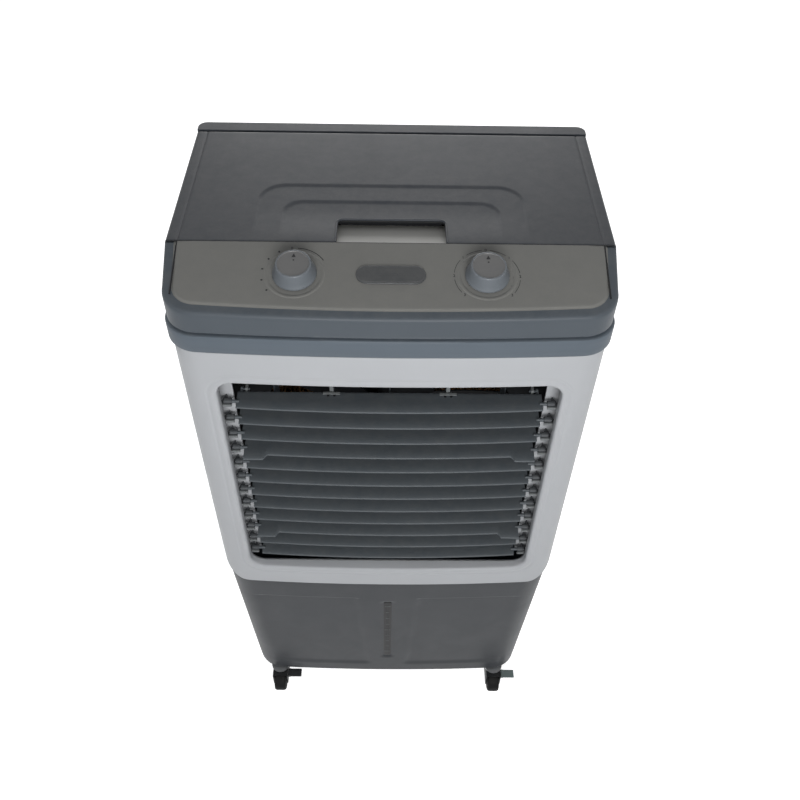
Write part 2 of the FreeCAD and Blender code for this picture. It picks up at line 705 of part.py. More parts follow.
def impeller_solid():
    """Five pitched blades on a hub, with the shaft that runs in the motor's front bearing."""
    axis = Vector(0, 1, 0)
    start = D.shroud_y + D.impeller_gap
    hub = Part.makeCylinder(D.hub_radius, 34, Vector(0, start, 0), axis)
    chord, thick = 84, 2.6
    blades = []
    for turn in range(5):
        blade = Part.makeBox(D.impeller_radius + 4 - D.hub_radius + 6, thick, chord)
        blade.translate(Vector(D.hub_radius - 6, -thick / 2, -chord / 2))
        blade.rotate(Vector(), Vector(1, 0, 0), 25)
        blade.rotate(Vector(), axis, 72 * turn)
        blade.translate(Vector(0, start + 17, 0))
        blades.append(blade)
    limit = Part.makeCylinder(D.impeller_radius, 60, Vector(0, start - 10, 0), axis)
    shaft = Part.makeCylinder(D.shaft_radius, 30, Vector(0, start + 30, 0), axis)
    wheel = hub.fuse([blade.common(limit) for blade in blades] + [shaft])
    wheel.translate(Vector(0, 0, D.opening_mid))
    return wheel


node("fan_impeller", coded(impeller_solid(), "Impeller"))

motor_y = "shroud_y + impeller_gap + 38"
motor_can = cylinder("motor_radius", 66, ("0", motor_y, "opening_mid"), "Y")
motor_bore = cylinder("shaft_radius + pin_gap", 30, ("0", motor_y + " - 1", "opening_mid"), "Y")
node("fan_motor", cut(motor_can, motor_bore))


# ---------------------------------------------------------------- collar and fill tray
def collar_solid():
    """Grey band under the cap, with a deck, a raised neck and the hole of the fill tray."""
    rear = D.rear
    half = D.cap_half - 2
    band = raise_wire(plan(half, D.front, rear, D.front_bow, D.cap_corner), D.frame_top, D.collar_top)
    neck = raise_wire(plan(half - 6, D.front + 4.5, rear - 4, D.front_bow, D.cap_corner - 4),
                      D.collar_top - 1, D.neck_top)
    under = raise_wire(plan(half - D.wall, D.front + D.wall, rear - D.wall, D.front_bow,
                            D.cap_corner - D.wall), D.frame_top - 1, D.collar_top - D.wall)
    within = raise_wire(plan(half - 9, D.front + 7.5, rear - 7, D.front_bow, D.cap_corner - 7),
                        D.collar_top, D.neck_top + 1)
    return band.fuse(neck).cut([under, within, tray_block(D.fit_gap, D.collar_top - 20, D.neck_top)])


def tray_block(gap, low, high):
    return block((-128 - gap, 128 + gap), (-12 - gap, 122 + gap), (low, high))


def tray_solid():
    """Shallow fill tray hung by its lip in the deck, with a slotted floor."""
    tray = tray_block(0, D.collar_top - 32, D.collar_top)
    lip = block((-136, 136), (-20, 130), (D.collar_top, D.collar_top + 2))
    room = block((-125.5, 125.5), (-9.5, 119.5), (D.collar_top - 29.5, D.collar_top + 3))
    slots = [block((x - 3, x + 3), (10, 100), (D.collar_top - 33, D.collar_top - 28))
             for x in range(-100, 101, 25)]
    return tray.fuse(lip).cut([room] + slots)


node("top_collar", coded(collar_solid(), "Collar"))
node("fill_tray", coded(tray_solid(), "Tray"))


# ---------------------------------------------------------------- control panel
def below_slope(drop):
    """Everything under the panel's sloping top, lowered by drop."""
    run = D.seam_back
    points = [(D.front - 10, D.collar_top - 60), (D.seam_y + 90, D.collar_top - 60),
              (D.seam_y + 90, D.lid_level - drop), (D.seam_y, D.lid_level - drop),
              (D.front - 10, D.lid_level - drop - D.panel_drop * (run + 10) / run)]
    return span_wire(rounded(points, [0] * 5, sideways), -400, 400)


def panel_solid():
    """Sloping control panel with its front and side walls, and the tongue behind the finger notch."""
    rear = D.seam_y
    outer = raise_wire(plan(D.cap_half - D.panel_taper, D.front, rear, D.front_bow, D.cap_corner - 2,
                            D.cap_half), D.neck_top, D.lid_level + 5).common(below_slope(0))
    inner = raise_wire(plan(D.cap_half - D.panel_taper - D.wall, D.front + D.wall, rear - D.wall,
                            D.front_bow, D.cap_corner - 2 - D.wall, D.cap_half - D.wall),
                       D.neck_top - 1, D.lid_level + 5).common(below_slope(D.wall * 1.02))
    rear_gap = block((-D.cap_half + 8, D.cap_half - 8), (rear - D.wall - 1, rear + 1),
                     (D.neck_top - 1, D.lid_level - 26))
    tongue = rounded([(rear - 2, D.lid_level - 2), (rear - 2, D.lid_level - 6),
                      (rear + D.tongue_reach, D.lid_level - 6 - D.tongue_drop),
                      (rear + D.tongue_reach, D.lid_level - 3.4 - D.tongue_drop),
                      (rear, D.lid_level - 3.4)], [0] * 5, sideways)
    ledge = span_wire(tongue, -D.tongue_half, D.tongue_half)
    shell = outer.cut([inner, rear_gap]).fuse(ledge)
    return shell.cut([bushing_hole(side) for side in (-1, 1)])


SLOPE = math.atan2(D.panel_drop, D.seam_back)
PANEL_NORMAL = Vector(0, -math.sin(SLOPE), math.cos(SLOPE))


def on_panel(x, back):
    """A point of the panel's sloping face, back millimetres in front of the seam."""
    return Vector(x, D.seam_y - back, D.lid_level - back * math.tan(SLOPE))


def bushing_hole(side):
    start = on_panel(side * D.knob_x, D.control_row) - PANEL_NORMAL * 12
    return Part.makeCylinder(D.bushing_radius + D.fit_gap, 20, start, PANEL_NORMAL)


node("control_panel", coded(panel_solid(), "Panel"))


def tilted(label, piece, x, lift):
    """Place a body that was drawn about +Z on the panel's face."""
    spot = on_panel(x, D.control_row) + PANEL_NORMAL * lift
    piece.Placement = Placement(spot, Rotation(Vector(1, 0, 0), math.degrees(SLOPE)))
    return node(label, piece)


def sketch_on(body, role, name):
    """A sketch on one of the body's own origin planes."""
    plane = [item for item in body.Origin.OriginFeatures if item.Role == role][0]
    sketch = body.newObject("Sketcher::SketchObject", name)
    sketch.AttachmentSupport = [(plane, "")]
    sketch.MapMode = "FlatFace"
    return sketch


def add_badge():
    """Bare stadium plate: a slot outline padded to the plate's thickness."""
    body = doc.addObject("PartDesign::Body", "Badge")
    sketch = sketch_on(body, "XY_Plane", "BadgeOutline")
    radius = D.badge_width / 2
    reach = D.badge_length / 2 - radius
    sketch.addGeometry(Part.ArcOfCircle(Part.Circle(Vector(reach, 0, 0), Vector(0, 0, 1), radius),
                                        -math.pi / 2, math.pi / 2))
    sketch.addGeometry(Part.LineSegment(Vector(reach, radius, 0), Vector(-reach, radius, 0)))
    sketch.addGeometry(Part.ArcOfCircle(Part.Circle(Vector(-reach, 0, 0), Vector(0, 0, 1), radius),
                                        math.pi / 2, 3 * math.pi / 2))
    sketch.addGeometry(Part.LineSegment(Vector(-reach, -radius, 0), Vector(reach, -radius, 0)))
    pad = body.newObject("PartDesign::Pad", "BadgePad")
    pad.Profile = sketch
    bind(pad, Length="badge_thick")
    doc.recompute()
    tilted("badge_plate", body, 0, 0)


def revolve_body(name, points):
    """A body turned about Z from a closed half profile in the XZ plane."""
    body = doc.addObject("PartDesign::Body", name)
    sketch = sketch_on(body, "XZ_Plane", name + "Profile")
    for start, end in zip(points, points[1:] + points[:1]):
        sketch.addGeometry(Part.LineSegment(Vector(*start, 0), Vector(*end, 0)))
    turn = body.newObject("PartDesign::Revolution", name + "Turn")
    turn.Profile = sketch
    turn.ReferenceAxis = (sketch, ["V_Axis"])
    turn.Angle = 360
    doc.recompute()
    return body


def add_knob(label, side):
    """Conical knob with a shallow cap recess and a stem that runs in the switch."""
    foot = 0.6
    top = D.knob_height
    points = [(0, -16), (D.stem_radius, -16), (D.stem_radius, foot), (D.knob_base, foot),
              (D.knob_base, foot + 3), (D.knob_top, top), (D.knob_top - 2.2, top),
              (D.knob_top - 2.6, top - 0.7), (0, top - 0.7)]
    tilted(label, revolve_body("Knob", points), side * D.knob_x, 0)


add_badge()
add_knob("knob_left", -1)
add_knob("knob_right", 1)


def switch_solid(side):
    """Rotary switch under the panel: square case, threaded bushing and the bore of the knob's stem."""
    case = Part.makeBox(D.switch_side, D.switch_side, D.switch_deep,
                        Vector(-D.switch_side / 2, -D.switch_side / 2, -D.switch_deep - D.wall - D.fit_gap))
    bushing = Part.makeCylinder(D.bushing_radius, D.wall + 2, Vector(0, 0, -D.wall - 2))
    bore = Part.makeCylinder(D.stem_radius + D.pin_gap, 19, Vector(0, 0, -18.5))
    switch = case.fuse(bushing).cut(bore)
    switch.rotate(Vector(), Vector(1, 0, 0), math.degrees(SLOPE))
    switch.translate(on_panel(side * D.knob_x, D.control_row))
    return switch


node("rotary_switches", coded(Part.makeCompound([switch_solid(-1), switch_solid(1)]), "Switches"))


# ---------------------------------------------------------------- lid, rear strip and hinge
def lid_solid():
    """Flat lid whose rear edge is rounded about the hinge, with side walls and a finger notch."""
    top = D.lid_level
    low = top - D.wall
    start = D.seam_y + D.seam_gap
    outer, inner = D.lid_barrel, D.lid_barrel - D.wall
    end_angle = math.radians(35)
    mid_angle = math.radians(62)

    def around(radius, angle):
        return sideways(D.hinge_y + radius * math.cos(angle), D.hinge_level + radius * math.sin(angle))

    profile = Part.Wire([
        Part.LineSegment(sideways(start, low), sideways(start, top)).toShape(),
        Part.LineSegment(sideways(start, top), sideways(D.hinge_y, top)).toShape(),
        Part.Arc(sideways(D.hinge_y, top), around(outer, mid_angle), around(outer, end_angle)).toShape(),
        Part.LineSegment(around(outer, end_angle), around(inner, end_angle)).toShape(),
        Part.Arc(around(inner, end_angle), around(inner, mid_angle), sideways(D.hinge_y, low)).toShape(),
        Part.LineSegment(sideways(D.hinge_y, low), sideways(start, low)).toShape(),
    ])
    plate = span_wire(profile, -D.cap_half, D.cap_half)
    pieces = []
    for side in (-1, 1):
        walls = sorted((side * D.cap_half, side * (D.cap_half - D.wall)))
        pieces.append(block(walls, (start, D.hinge_y - 2), (D.neck_top + D.fit_gap, low + 0.5)))
        knuckle_start = side * D.knuckle_x - D.knuckle_length / 2
        pieces.append(Part.makeCylinder(4.2, D.knuckle_length,
                                        Vector(knuckle_start, D.hinge_y, D.hinge_level), Vector(1, 0, 0)))
        lips = sorted((side * (D.tongue_half + 3), side * (D.cap_half - D.wall)))
        pieces.append(block(lips, (start, start + 2.2), (low - 9, low + 0.5)))
    notch = rounded([(-D.notch_half, D.seam_y - 5), (D.notch_half, D.seam_y - 5),
                     (D.notch_half, D.seam_y + D.notch_deep), (-D.notch_half, D.seam_y + D.notch_deep)],
                    [0, 0, D.notch_corner, D.notch_corner], flat)
    bores = Part.makeCylinder(D.lid_swing_pin + D.pin_gap, D.cap_width,
                              Vector(-D.cap_half, D.hinge_y, D.hinge_level), Vector(1, 0, 0))
    bores = bores.common(block((-D.cap_half + 20, D.cap_half - 20), (0, D.rear), (low - 20, low + 20)))
    return plate.fuse(pieces).cut([raise_wire(notch, low - 2, top + 2), bores])


def strip_solid():
    """Fixed rear moulding behind the lid, with the lugs that hold the hinge pins."""
    corner = 12
    front, rear, top = D.strip_front, D.rear, D.lid_level
    outline = rounded([(-D.cap_half, front), (D.cap_half, front), (D.cap_half, rear), (-D.cap_half, rear)],
                      [0, 0, corner, corner], flat)
    room = rounded([(-D.cap_half + D.wall, front - 1), (D.cap_half - D.wall, front - 1),
                    (D.cap_half - D.wall, rear - D.wall), (-D.cap_half + D.wall, rear - D.wall)],
                   [0, 0, corner - D.wall, corner - D.wall], flat)
    shell = raise_wire(outline, D.neck_top, top).cut(raise_wire(room, D.neck_top - 1, top - D.wall))
    lugs = []
    for side in (-1, 1):
        for end in (-1, 1):
            middle = side * D.knuckle_x + end * (D.knuckle_length / 2 + D.lug_width / 2 + 0.5)
            reach = (middle - D.lug_width / 2, middle + D.lug_width / 2)
            eye = Part.makeCylinder(3, D.lug_width, Vector(reach[0], D.hinge_y, D.hinge_level), Vector(1, 0, 0))
            stalk = block(reach, (D.hinge_y - 3, D.hinge_y + 2), (D.hinge_level - 14, D.hinge_level))
            foot = block(reach, (D.hinge_y - 3, rear - 1), (D.hinge_level - 22, D.hinge_level - 12))
            lugs += [eye, stalk, foot]
    bore = Part.makeCylinder(D.lid_swing_pin + 0.02, D.cap_width - 40,
                             Vector(20 - D.cap_half, D.hinge_y, D.hinge_level), Vector(1, 0, 0))
    return shell.fuse(lugs).cut(bore)


node("lid", coded(lid_solid(), "Lid"))
node("rear_strip", coded(strip_solid(), "Strip"))
hinge_rods = [cylinder("lid_swing_pin", "knuckle_length + 2 * lug_width + 3",
                       ("%d * knuckle_x - knuckle_length / 2 - lug_width - 1.5" % side,
                        "hinge_y", "hinge_level"), "X") for side in (-1, 1)]
node("lid_hinge_pins", group(*hinge_rods))


# ---------------------------------------------------------------- castors
CASTORS = {"front_left": (-1, -1), "front_right": (1, -1), "rear_left": (-1, 1), "rear_right": (1, 1)}


def castor_y(end):
    return "-castor_front" if end < 0 else "castor_rear"


def add_castor(label, side, end):
    """A swivel fork with its axle, and a wheel that runs on it."""
    across, along = "%d * castor_x" % side, castor_y(end)
    crown = "(2 * wheel_radius + 1.2)"
    plate = cylinder(15, 2.5, (across, along, crown))
    neck = centred_box("wheel_width + 6", "trail + 8", 2.5, (across, along + " - trail - 4", crown))
    cheeks = [centred_box(2, "trail + 14", "2 * wheel_radius + 3 - wheel_radius + 6",
                          ("%s + %d * (wheel_width / 2 + 2)" % (across, hand), along + " - trail - 6",
                           "wheel_radius - 6")) for hand in (-1, 1)]
    axle = cylinder("axle_radius", "wheel_width + 6",
                    (across + " - wheel_width / 2 - 3", along + " - trail", "wheel_radius"), "X")
    socket = cylinder("4 + pin_gap", 8, (across, along, crown + " - 2"))
    node("castor_fork_" + label, cut(fuse(plate, neck, *cheeks, axle), socket))
    tyre = cylinder("wheel_radius", "wheel_width",
                    (across + " - wheel_width / 2", along + " - trail", "wheel_radius"), "X")
    bore = cylinder("axle_radius + pin_gap", "wheel_width + 2",
                    (across + " - wheel_width / 2 - 1", along + " - trail", "wheel_radius"), "X")
    node("castor_wheel_" + label, cut(tyre, bore))


for name, (hand, end) in CASTORS.items():
    add_castor(name, hand, end)

plates = []
for hand, end in CASTORS.values():
    across, along = "%d * castor_x" % hand, castor_y(end)
    flange = cylinder(17, 2, (across, along, "tank_floor - 2 - fit_gap"))
    stem = cylinder(4, "tank_floor - 2 * wheel_radius + 6", (across, along, "2 * wheel_radius + 1.6"))
    plates.append(fuse(flange, stem))
node("castor_plates", group(*plates))

for name in ("front_left", "front_right"):
    across, along = "%d * castor_x" % CASTORS[name][0], castor_y(-1)
    hinge_x = across + " + wheel_width / 2 + 3.3"
    pad = box("pedal_length", 15, 3, (hinge_x + " + 2.2", along + " - trail - 2", "wheel_radius + 14"))
    barrel = cylinder(3, 15, (hinge_x + " + 3", along + " - trail - 2", "wheel_radius + 15.5"), "Y")
    node("brake_pedal_" + name, fuse(pad, barrel))

doc.recompute()


# ---------------------------------------------------------------- check and write
def check():
    for item in doc.Objects:
        if "Invalid" in item.State or "Error" in item.State:
            raise RuntimeError("%s (%s) failed: %s" % (item.Name, item.Label, item.State))
    for piece in nodes:
        shape = piece.Shape
        if shape.isNull() or not shape.isValid() or not shape.Solids:
            raise RuntimeError("%s has no valid solid" % piece.Label)


check()
os.makedirs("parts", exist_ok=True)
for piece in nodes:
    piece.Shape.exportStep("parts/%s.step" % piece.Label)
    print("%-24s %2d solids" % (piece.Label, len(piece.Shape.Solids)))
print(len(nodes), "nodes")
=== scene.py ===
"""Portable evaporative cooler: the visual model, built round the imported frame."""
import math

import bmesh
import bpy
import numpy as np
from mathutils import Matrix, Vector


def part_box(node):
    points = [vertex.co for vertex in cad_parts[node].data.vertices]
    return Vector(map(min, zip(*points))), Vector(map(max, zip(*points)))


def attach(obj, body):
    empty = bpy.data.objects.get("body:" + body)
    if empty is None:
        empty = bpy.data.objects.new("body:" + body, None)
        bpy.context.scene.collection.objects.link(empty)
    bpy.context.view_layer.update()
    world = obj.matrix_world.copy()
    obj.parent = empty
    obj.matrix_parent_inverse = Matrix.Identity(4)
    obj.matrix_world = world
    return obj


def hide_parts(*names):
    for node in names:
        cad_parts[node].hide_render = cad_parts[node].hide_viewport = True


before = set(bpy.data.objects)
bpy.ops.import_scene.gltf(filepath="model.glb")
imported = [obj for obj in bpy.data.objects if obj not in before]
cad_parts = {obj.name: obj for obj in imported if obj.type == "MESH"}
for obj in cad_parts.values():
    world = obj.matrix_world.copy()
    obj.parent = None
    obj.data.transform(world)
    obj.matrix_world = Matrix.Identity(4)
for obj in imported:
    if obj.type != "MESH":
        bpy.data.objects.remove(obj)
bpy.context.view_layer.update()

MM = 0.001
HOUSING = "housing"


def span(node):
    """Lowest and highest corner of a CAD node, in millimetres."""
    low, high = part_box(node)
    return np.array(low) / MM, np.array(high) / MM


FRAME_LOW, FRAME_HIGH = span("front_frame")
PANEL_LOW = span("control_panel")[0]
LID_LOW, LID_HIGH = span("lid")
COLLAR_LOW, COLLAR_HIGH = span("top_collar")
TANK_HIGH = span("water_tank")[1]
CABINET_LOW, CABINET_HIGH = span("cabinet")
GRILLE_LOW, GRILLE_HIGH = span("rear_grille")
PAD_LOW, PAD_HIGH = span("cooling_pad")
TRAY_LOW, TRAY_HIGH = span("fill_tray")
WINDOW_LOW, WINDOW_HIGH = span("level_window")
IMPELLER_LOW, IMPELLER_HIGH = span("fan_impeller")

# shared sizes in millimetres
BOW = 9.0
WALL = 3.0
OPENING_HALF = 215.0
OPENING_FOOT = 44.0
OPENING_HEIGHT = 418.0
OPENING_CORNER = 22.0
SILL_DEPTH = 21.0
SEAM_GAP = 0.6
SEAM_Y = LID_LOW[1] - SEAM_GAP
LID_TOP = LID_HIGH[2]
PANEL_DROP = 22.0
SLOPE = math.atan2(PANEL_DROP, SEAM_Y - PANEL_LOW[1])
PANEL_UP = Vector((0, -math.sin(SLOPE), math.cos(SLOPE)))


# ------------------------------------------------------------------ surfaces
def grid_faces(rows, columns, wrap_rows, wrap_columns):
    """Four corners of every cell of a grid of points, wrapped round where it closes on itself."""
    row = np.arange(rows if wrap_rows else rows - 1)
    column = np.arange(columns if wrap_columns else columns - 1)
    row, column = np.meshgrid(row, column, indexing="ij")
    row_next, column_next = (row + 1) % rows, (column + 1) % columns
    cells = [row * columns + column, row * columns + column_next,
             row_next * columns + column_next, row_next * columns + column]
    return np.stack(cells, axis=-1).reshape(-1, 4)


RING = (False, True)      # the columns wrap round and the rows don't


def sheet(grid, wraps=(False, False), keep=None, paint=0):
    """A grid, whether its rows and columns wrap round, the cells to keep and its material's number."""
    return grid, wraps, keep, paint


def piece(name, sheets, materials, body, replaces=(), crease=32, thickness=0, bevel=0, merge=0.01):
    """One object from point grids in millimetres.

    An entry is a bare grid or what sheet() gives. Equal points are merged and faces turned outwards.
    """
    points, faces, paints = [], [], []
    offset = 0
    for entry in sheets:
        grid, wraps, keep, paint = entry if isinstance(entry, tuple) else sheet(entry)
        cells = grid_faces(grid.shape[0], grid.shape[1], *wraps) + offset
        if keep is not None:
            cells = cells[keep.reshape(-1)]
        points.append(grid.reshape(-1, 3))
        faces.append(cells)
        paints.append(np.full(len(cells), paint))
        offset += grid.shape[0] * grid.shape[1]
    mesh = bpy.data.meshes.new(name)
    mesh.from_pydata((np.concatenate(points) * MM).tolist(), [], np.concatenate(faces).tolist())
    mesh.polygons.foreach_set("material_index", np.concatenate(paints).astype(np.int32))
    shell = bmesh.new()
    shell.from_mesh(mesh)
    bmesh.ops.remove_doubles(shell, verts=shell.verts, dist=merge * MM)
    bmesh.ops.dissolve_degenerate(shell, edges=shell.edges, dist=merge * MM)
    loose = [vertex for vertex in shell.verts if not vertex.link_faces]
    bmesh.ops.delete(shell, geom=loose, context="VERTS")
    bmesh.ops.recalc_face_normals(shell, faces=shell.faces)
    shell.to_mesh(mesh)
    shell.free()
    return finish_mesh(name, mesh, materials, body, replaces, crease, thickness, bevel)


def finish_mesh(name, mesh, materials, body, replaces=(), crease=32, thickness=0, bevel=0):
    """Shade a mesh, give it its wall and softened edges, and tie it to its body."""
    for material in materials:
        mesh.materials.append(material)
    mesh.shade_smooth()
    mesh.set_sharp_from_angle(angle=math.radians(crease))
    thing = bpy.data.objects.new(name, mesh)
    bpy.context.scene.collection.objects.link(thing)
    if thickness:
        wall = thing.modifiers.new("Wall", "SOLIDIFY")
        wall.thickness = thickness * MM
        wall.offset = -1
    if bevel:
        edge = thing.modifiers.new("Edge", "BEVEL")
        edge.width = bevel * MM
        edge.segments = 2
        edge.limit_method = "ANGLE"
        edge.angle_limit = math.radians(40)
    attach(thing, body)
    if replaces:
        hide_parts(*replaces)
    return thing


def arc(centre, radius, start, end, count):
    """Points on a circle between two angles in degrees."""
    angle = np.radians(np.linspace(start, end, count))
    return np.stack([centre[0] + radius * np.cos(angle), centre[1] + radius * np.sin(angle)], axis=1)


def line(start, end, count):
    """Evenly spaced points from start to end."""
    return np.array(start) + np.linspace(0, 1, count)[:, None] * (np.array(end) - np.array(start))


def join(*stretches):
    """Stretches one after another, without the shared end points."""
    return np.concatenate([stretch[:-1] for stretch in stretches[:-1]] + [stretches[-1]])


def half_plan(half, front, rear, bow, corner, taper=0.0, rear_corner=0.0):
    """Right half of an outline from above, from the middle of the front to the rear.

    The front is a shallow arc, a corner arc touches it and the side, and the side may lean out.
    """
    bend = (half ** 2 + bow ** 2) / (2 * bow)
    middle = front + bend
    corner_x = half - corner
    corner_y = middle - math.sqrt((bend - corner) ** 2 - corner_x ** 2)
    turn = math.degrees(math.atan2(corner_y - middle, corner_x))
    stretches = [arc((0, middle), bend, -90, turn, 40), arc((corner_x, corner_y), corner, turn, 0, 14)]
    if rear_corner:
        stretches.append(line((half, corner_y), (half, rear - rear_corner), 12))
        stretches.append(arc((half - rear_corner, rear - rear_corner), rear_corner, 0, 90, 9))
        stretches.append(line((half - rear_corner, rear), (0, rear), 20))
    else:
        stretches.append(line((half, corner_y), (half + taper, rear), 24))
    return join(*stretches)


def mirrored(right, closed):
    """The right half and its mirror image as one outline."""
    left = right[::-1] * np.array([-1, 1])
    return np.concatenate([right, left[1:-1]]) if closed else join(left, right)


def both_halves(right):
    """A right half that ends on the middle line, carried on by its mirror image."""
    return np.concatenate([right, right[-2::-1] * np.array([-1, 1])])


def level(outline, height):
    """An outline from above, raised to a height, which may differ from point to point."""
    heights = np.broadcast_to(np.reshape(height, (-1, 1)), (len(outline), 1))
    return np.concatenate([outline, heights], axis=1)


def across(right, height, columns=2):
    """Fill between a right half outline and its mirror with straight rows in X."""
    share = np.linspace(-1, 1, columns)[None, :]
    x = right[:, :1] * share
    y = np.repeat(right[:, 1:], columns, axis=1)
    z = height(y) if callable(height) else np.full_like(x, height)
    return np.stack([x, y, z], axis=-1)


def lathe(profile, origin, axis, count):
    """Turn a profile of (radius, height) about an axis through the origin point."""
    axis = np.array(Vector(axis).normalized())
    first = np.cross(axis, (0, 1, 0) if abs(axis[0]) > 0.9 else (1, 0, 0))
    first = first / np.linalg.norm(first)
    second = np.cross(axis, first)
    angle = np.linspace(0, 2 * math.pi, count, endpoint=False)
    around = first[None, :] * np.cos(angle)[:, None] + second[None, :] * np.sin(angle)[:, None]
    profile = np.array(profile, dtype=float)
    grid = profile[:, None, :1] * around[None, :, :] + profile[:, None, 1:] * axis[None, None, :]
    return sheet(grid + np.array(origin, dtype=float), RING)


def rounded_loop(half, low, high, corner, counts=(40, 18, 40)):
    """Closed rounded rectangle, anticlockwise from the middle of the low edge."""
    wide, turn, tall = counts
    right = join(line((0, low), (half - corner, low), wide),
                 arc((half - corner, low + corner), corner, -90, 0, turn),
                 line((half, low + corner), (half, high - corner), tall),
                 arc((half - corner, high - corner), corner, 0, 90, turn),
                 line((half - corner, high), (0, high), wide))
    return mirrored(right, True)


def step(distance, width):
    """Smooth rise from 0 to 1 as the distance goes from minus to plus half the width."""
    share = np.clip(distance / width + 0.5, 0, 1)
    return share * share * (3 - 2 * share)


def inside_distance(x, y, half, low, high, corner):
    """Distance inwards from the edge of a rounded rectangle; negative outside it."""
    side = np.abs(x) - (half - corner)
    middle, reach = (low + high) / 2, (high - low) / 2 - corner
    along = np.abs(y - middle) - reach
    outside = np.hypot(np.maximum(side, 0), np.maximum(along, 0)) + np.minimum(np.maximum(side, along), 0)
    return corner - outside


# ------------------------------------------------------------------ materials
def linear(red, green, blue):
    """A colour written as 0 to 255 display values, as linear light."""
    parts = np.array([red, green, blue]) / 255
    light = np.where(parts <= 0.04045, parts / 12.92, ((parts + 0.055) / 1.055) ** 2.4)
    return (*[float(value) for value in light], 1.0)


def new_group(name, inputs, outputs):
    """An empty shader node group with named sockets."""
    group = bpy.data.node_groups.new(name, "ShaderNodeTree")
    for label, kind, value in inputs:
        socket = group.interface.new_socket(label, in_out="INPUT", socket_type=kind)
        socket.default_value = value
    for label, kind in outputs:
        group.interface.new_socket(label, in_out="OUTPUT", socket_type=kind)
    return group, group.nodes.new("NodeGroupInput"), group.nodes.new("NodeGroupOutput")


def add(tree, kind, **settings):
    """A node with its settings and the default values of its sockets."""
    node = tree.nodes.new(kind)
    sockets = settings.pop("sockets", {})
    for key, value in settings.items():
        setattr(node, key, value)
    for key, value in sockets.items():
        node.inputs[key].default_value = value
    return node


def wire(tree, *links):
    """Join nodes; each link is a node, its output, the next node and its input."""
    for source, output, target, entry in links:
        tree.links.new(source.outputs[output], target.inputs[entry])


FLOAT, COLOUR = "NodeSocketFloat", "NodeSocketColor"


def drift_group():
    """Slow change of tone over a moulding: two noises darken and lighten the colour."""
    group, entry, leave = new_group("Tone drift", [("Colour", COLOUR, (1, 1, 1, 1)), ("Scale", FLOAT, 12.0),
                                                   ("Amount", FLOAT, 0.1)], [("Colour", COLOUR)])
    place = add(group, "ShaderNodeTexCoord")
    cloud = add(group, "ShaderNodeTexNoise", sockets={"Detail": 4.0})
    fleck = add(group, "ShaderNodeTexNoise", sockets={"Scale": 900.0, "Detail": 2.0})
    both = add(group, "ShaderNodeMix", sockets={"Factor": 0.3})
    swing = add(group, "ShaderNodeMapRange", sockets={"From Min": 0.3, "From Max": 0.7})
    tone = add(group, "ShaderNodeMath", operation="MULTIPLY_ADD")
    low = add(group, "ShaderNodeMath", operation="MULTIPLY_ADD", sockets={1: -0.5, 2: 1.0})
    scale = add(group, "ShaderNodeVectorMath", operation="SCALE")
    wire(group, (place, "Object", cloud, "Vector"), (place, "Object", fleck, "Vector"),
                (entry, "Scale", cloud, "Scale"), (cloud, "Fac", both, "A"), (fleck, "Fac", both, "B"),
                (both, "Result", swing, "Value"), (entry, "Amount", low, 0), (swing, "Result", tone, 0),
                (entry, "Amount", tone, 1), (low, 0, tone, 2), (entry, "Colour", scale, 0),
                (tone, 0, scale, "Scale"), (scale, 0, leave, "Colour"))
    return group


def grain_group():
    """Spark-eroded moulding grain: fine cells and noise as a height."""
    group, entry, leave = new_group("Moulding grain", [("Scale", FLOAT, 1400.0)], [("Height", FLOAT)])
    place = add(group, "ShaderNodeTexCoord")
    noise = add(group, "ShaderNodeTexNoise", sockets={"Detail": 3.0})
    cells = add(group, "ShaderNodeTexVoronoi")
    both = add(group, "ShaderNodeMix", sockets={"Factor": 0.4})
    wire(group, (place, "Object", noise, "Vector"), (entry, "Scale", noise, "Scale"),
                (place, "Object", cells, "Vector"), (entry, "Scale", cells, "Scale"),
                (noise, "Fac", both, "A"), (cells, "Distance", both, "B"),
                (both, "Result", leave, "Height"))
    return group


def handling_group():
    """Roughness that changes where hands and cloths have polished the surface."""
    group, entry, leave = new_group("Handling polish", [("Roughness", FLOAT, 0.5), ("Amount", FLOAT, 0.1),
                                                        ("Scale", FLOAT, 18.0)], [("Roughness", FLOAT)])
    place = add(group, "ShaderNodeTexCoord")
    noise = add(group, "ShaderNodeTexNoise", sockets={"Detail": 6.0, "Roughness": 0.65, "Distortion": 0.6})
    centred = add(group, "ShaderNodeMath", operation="SUBTRACT", sockets={1: 0.5})
    scaled = add(group, "ShaderNodeMath", operation="MULTIPLY_ADD")
    wire(group, (place, "Object", noise, "Vector"), (entry, "Scale", noise, "Scale"),
                (noise, "Fac", centred, 0), (centred, 0, scaled, 0), (entry, "Amount", scaled, 1),
                (entry, "Roughness", scaled, 2), (scaled, 0, leave, "Roughness"))
    return group


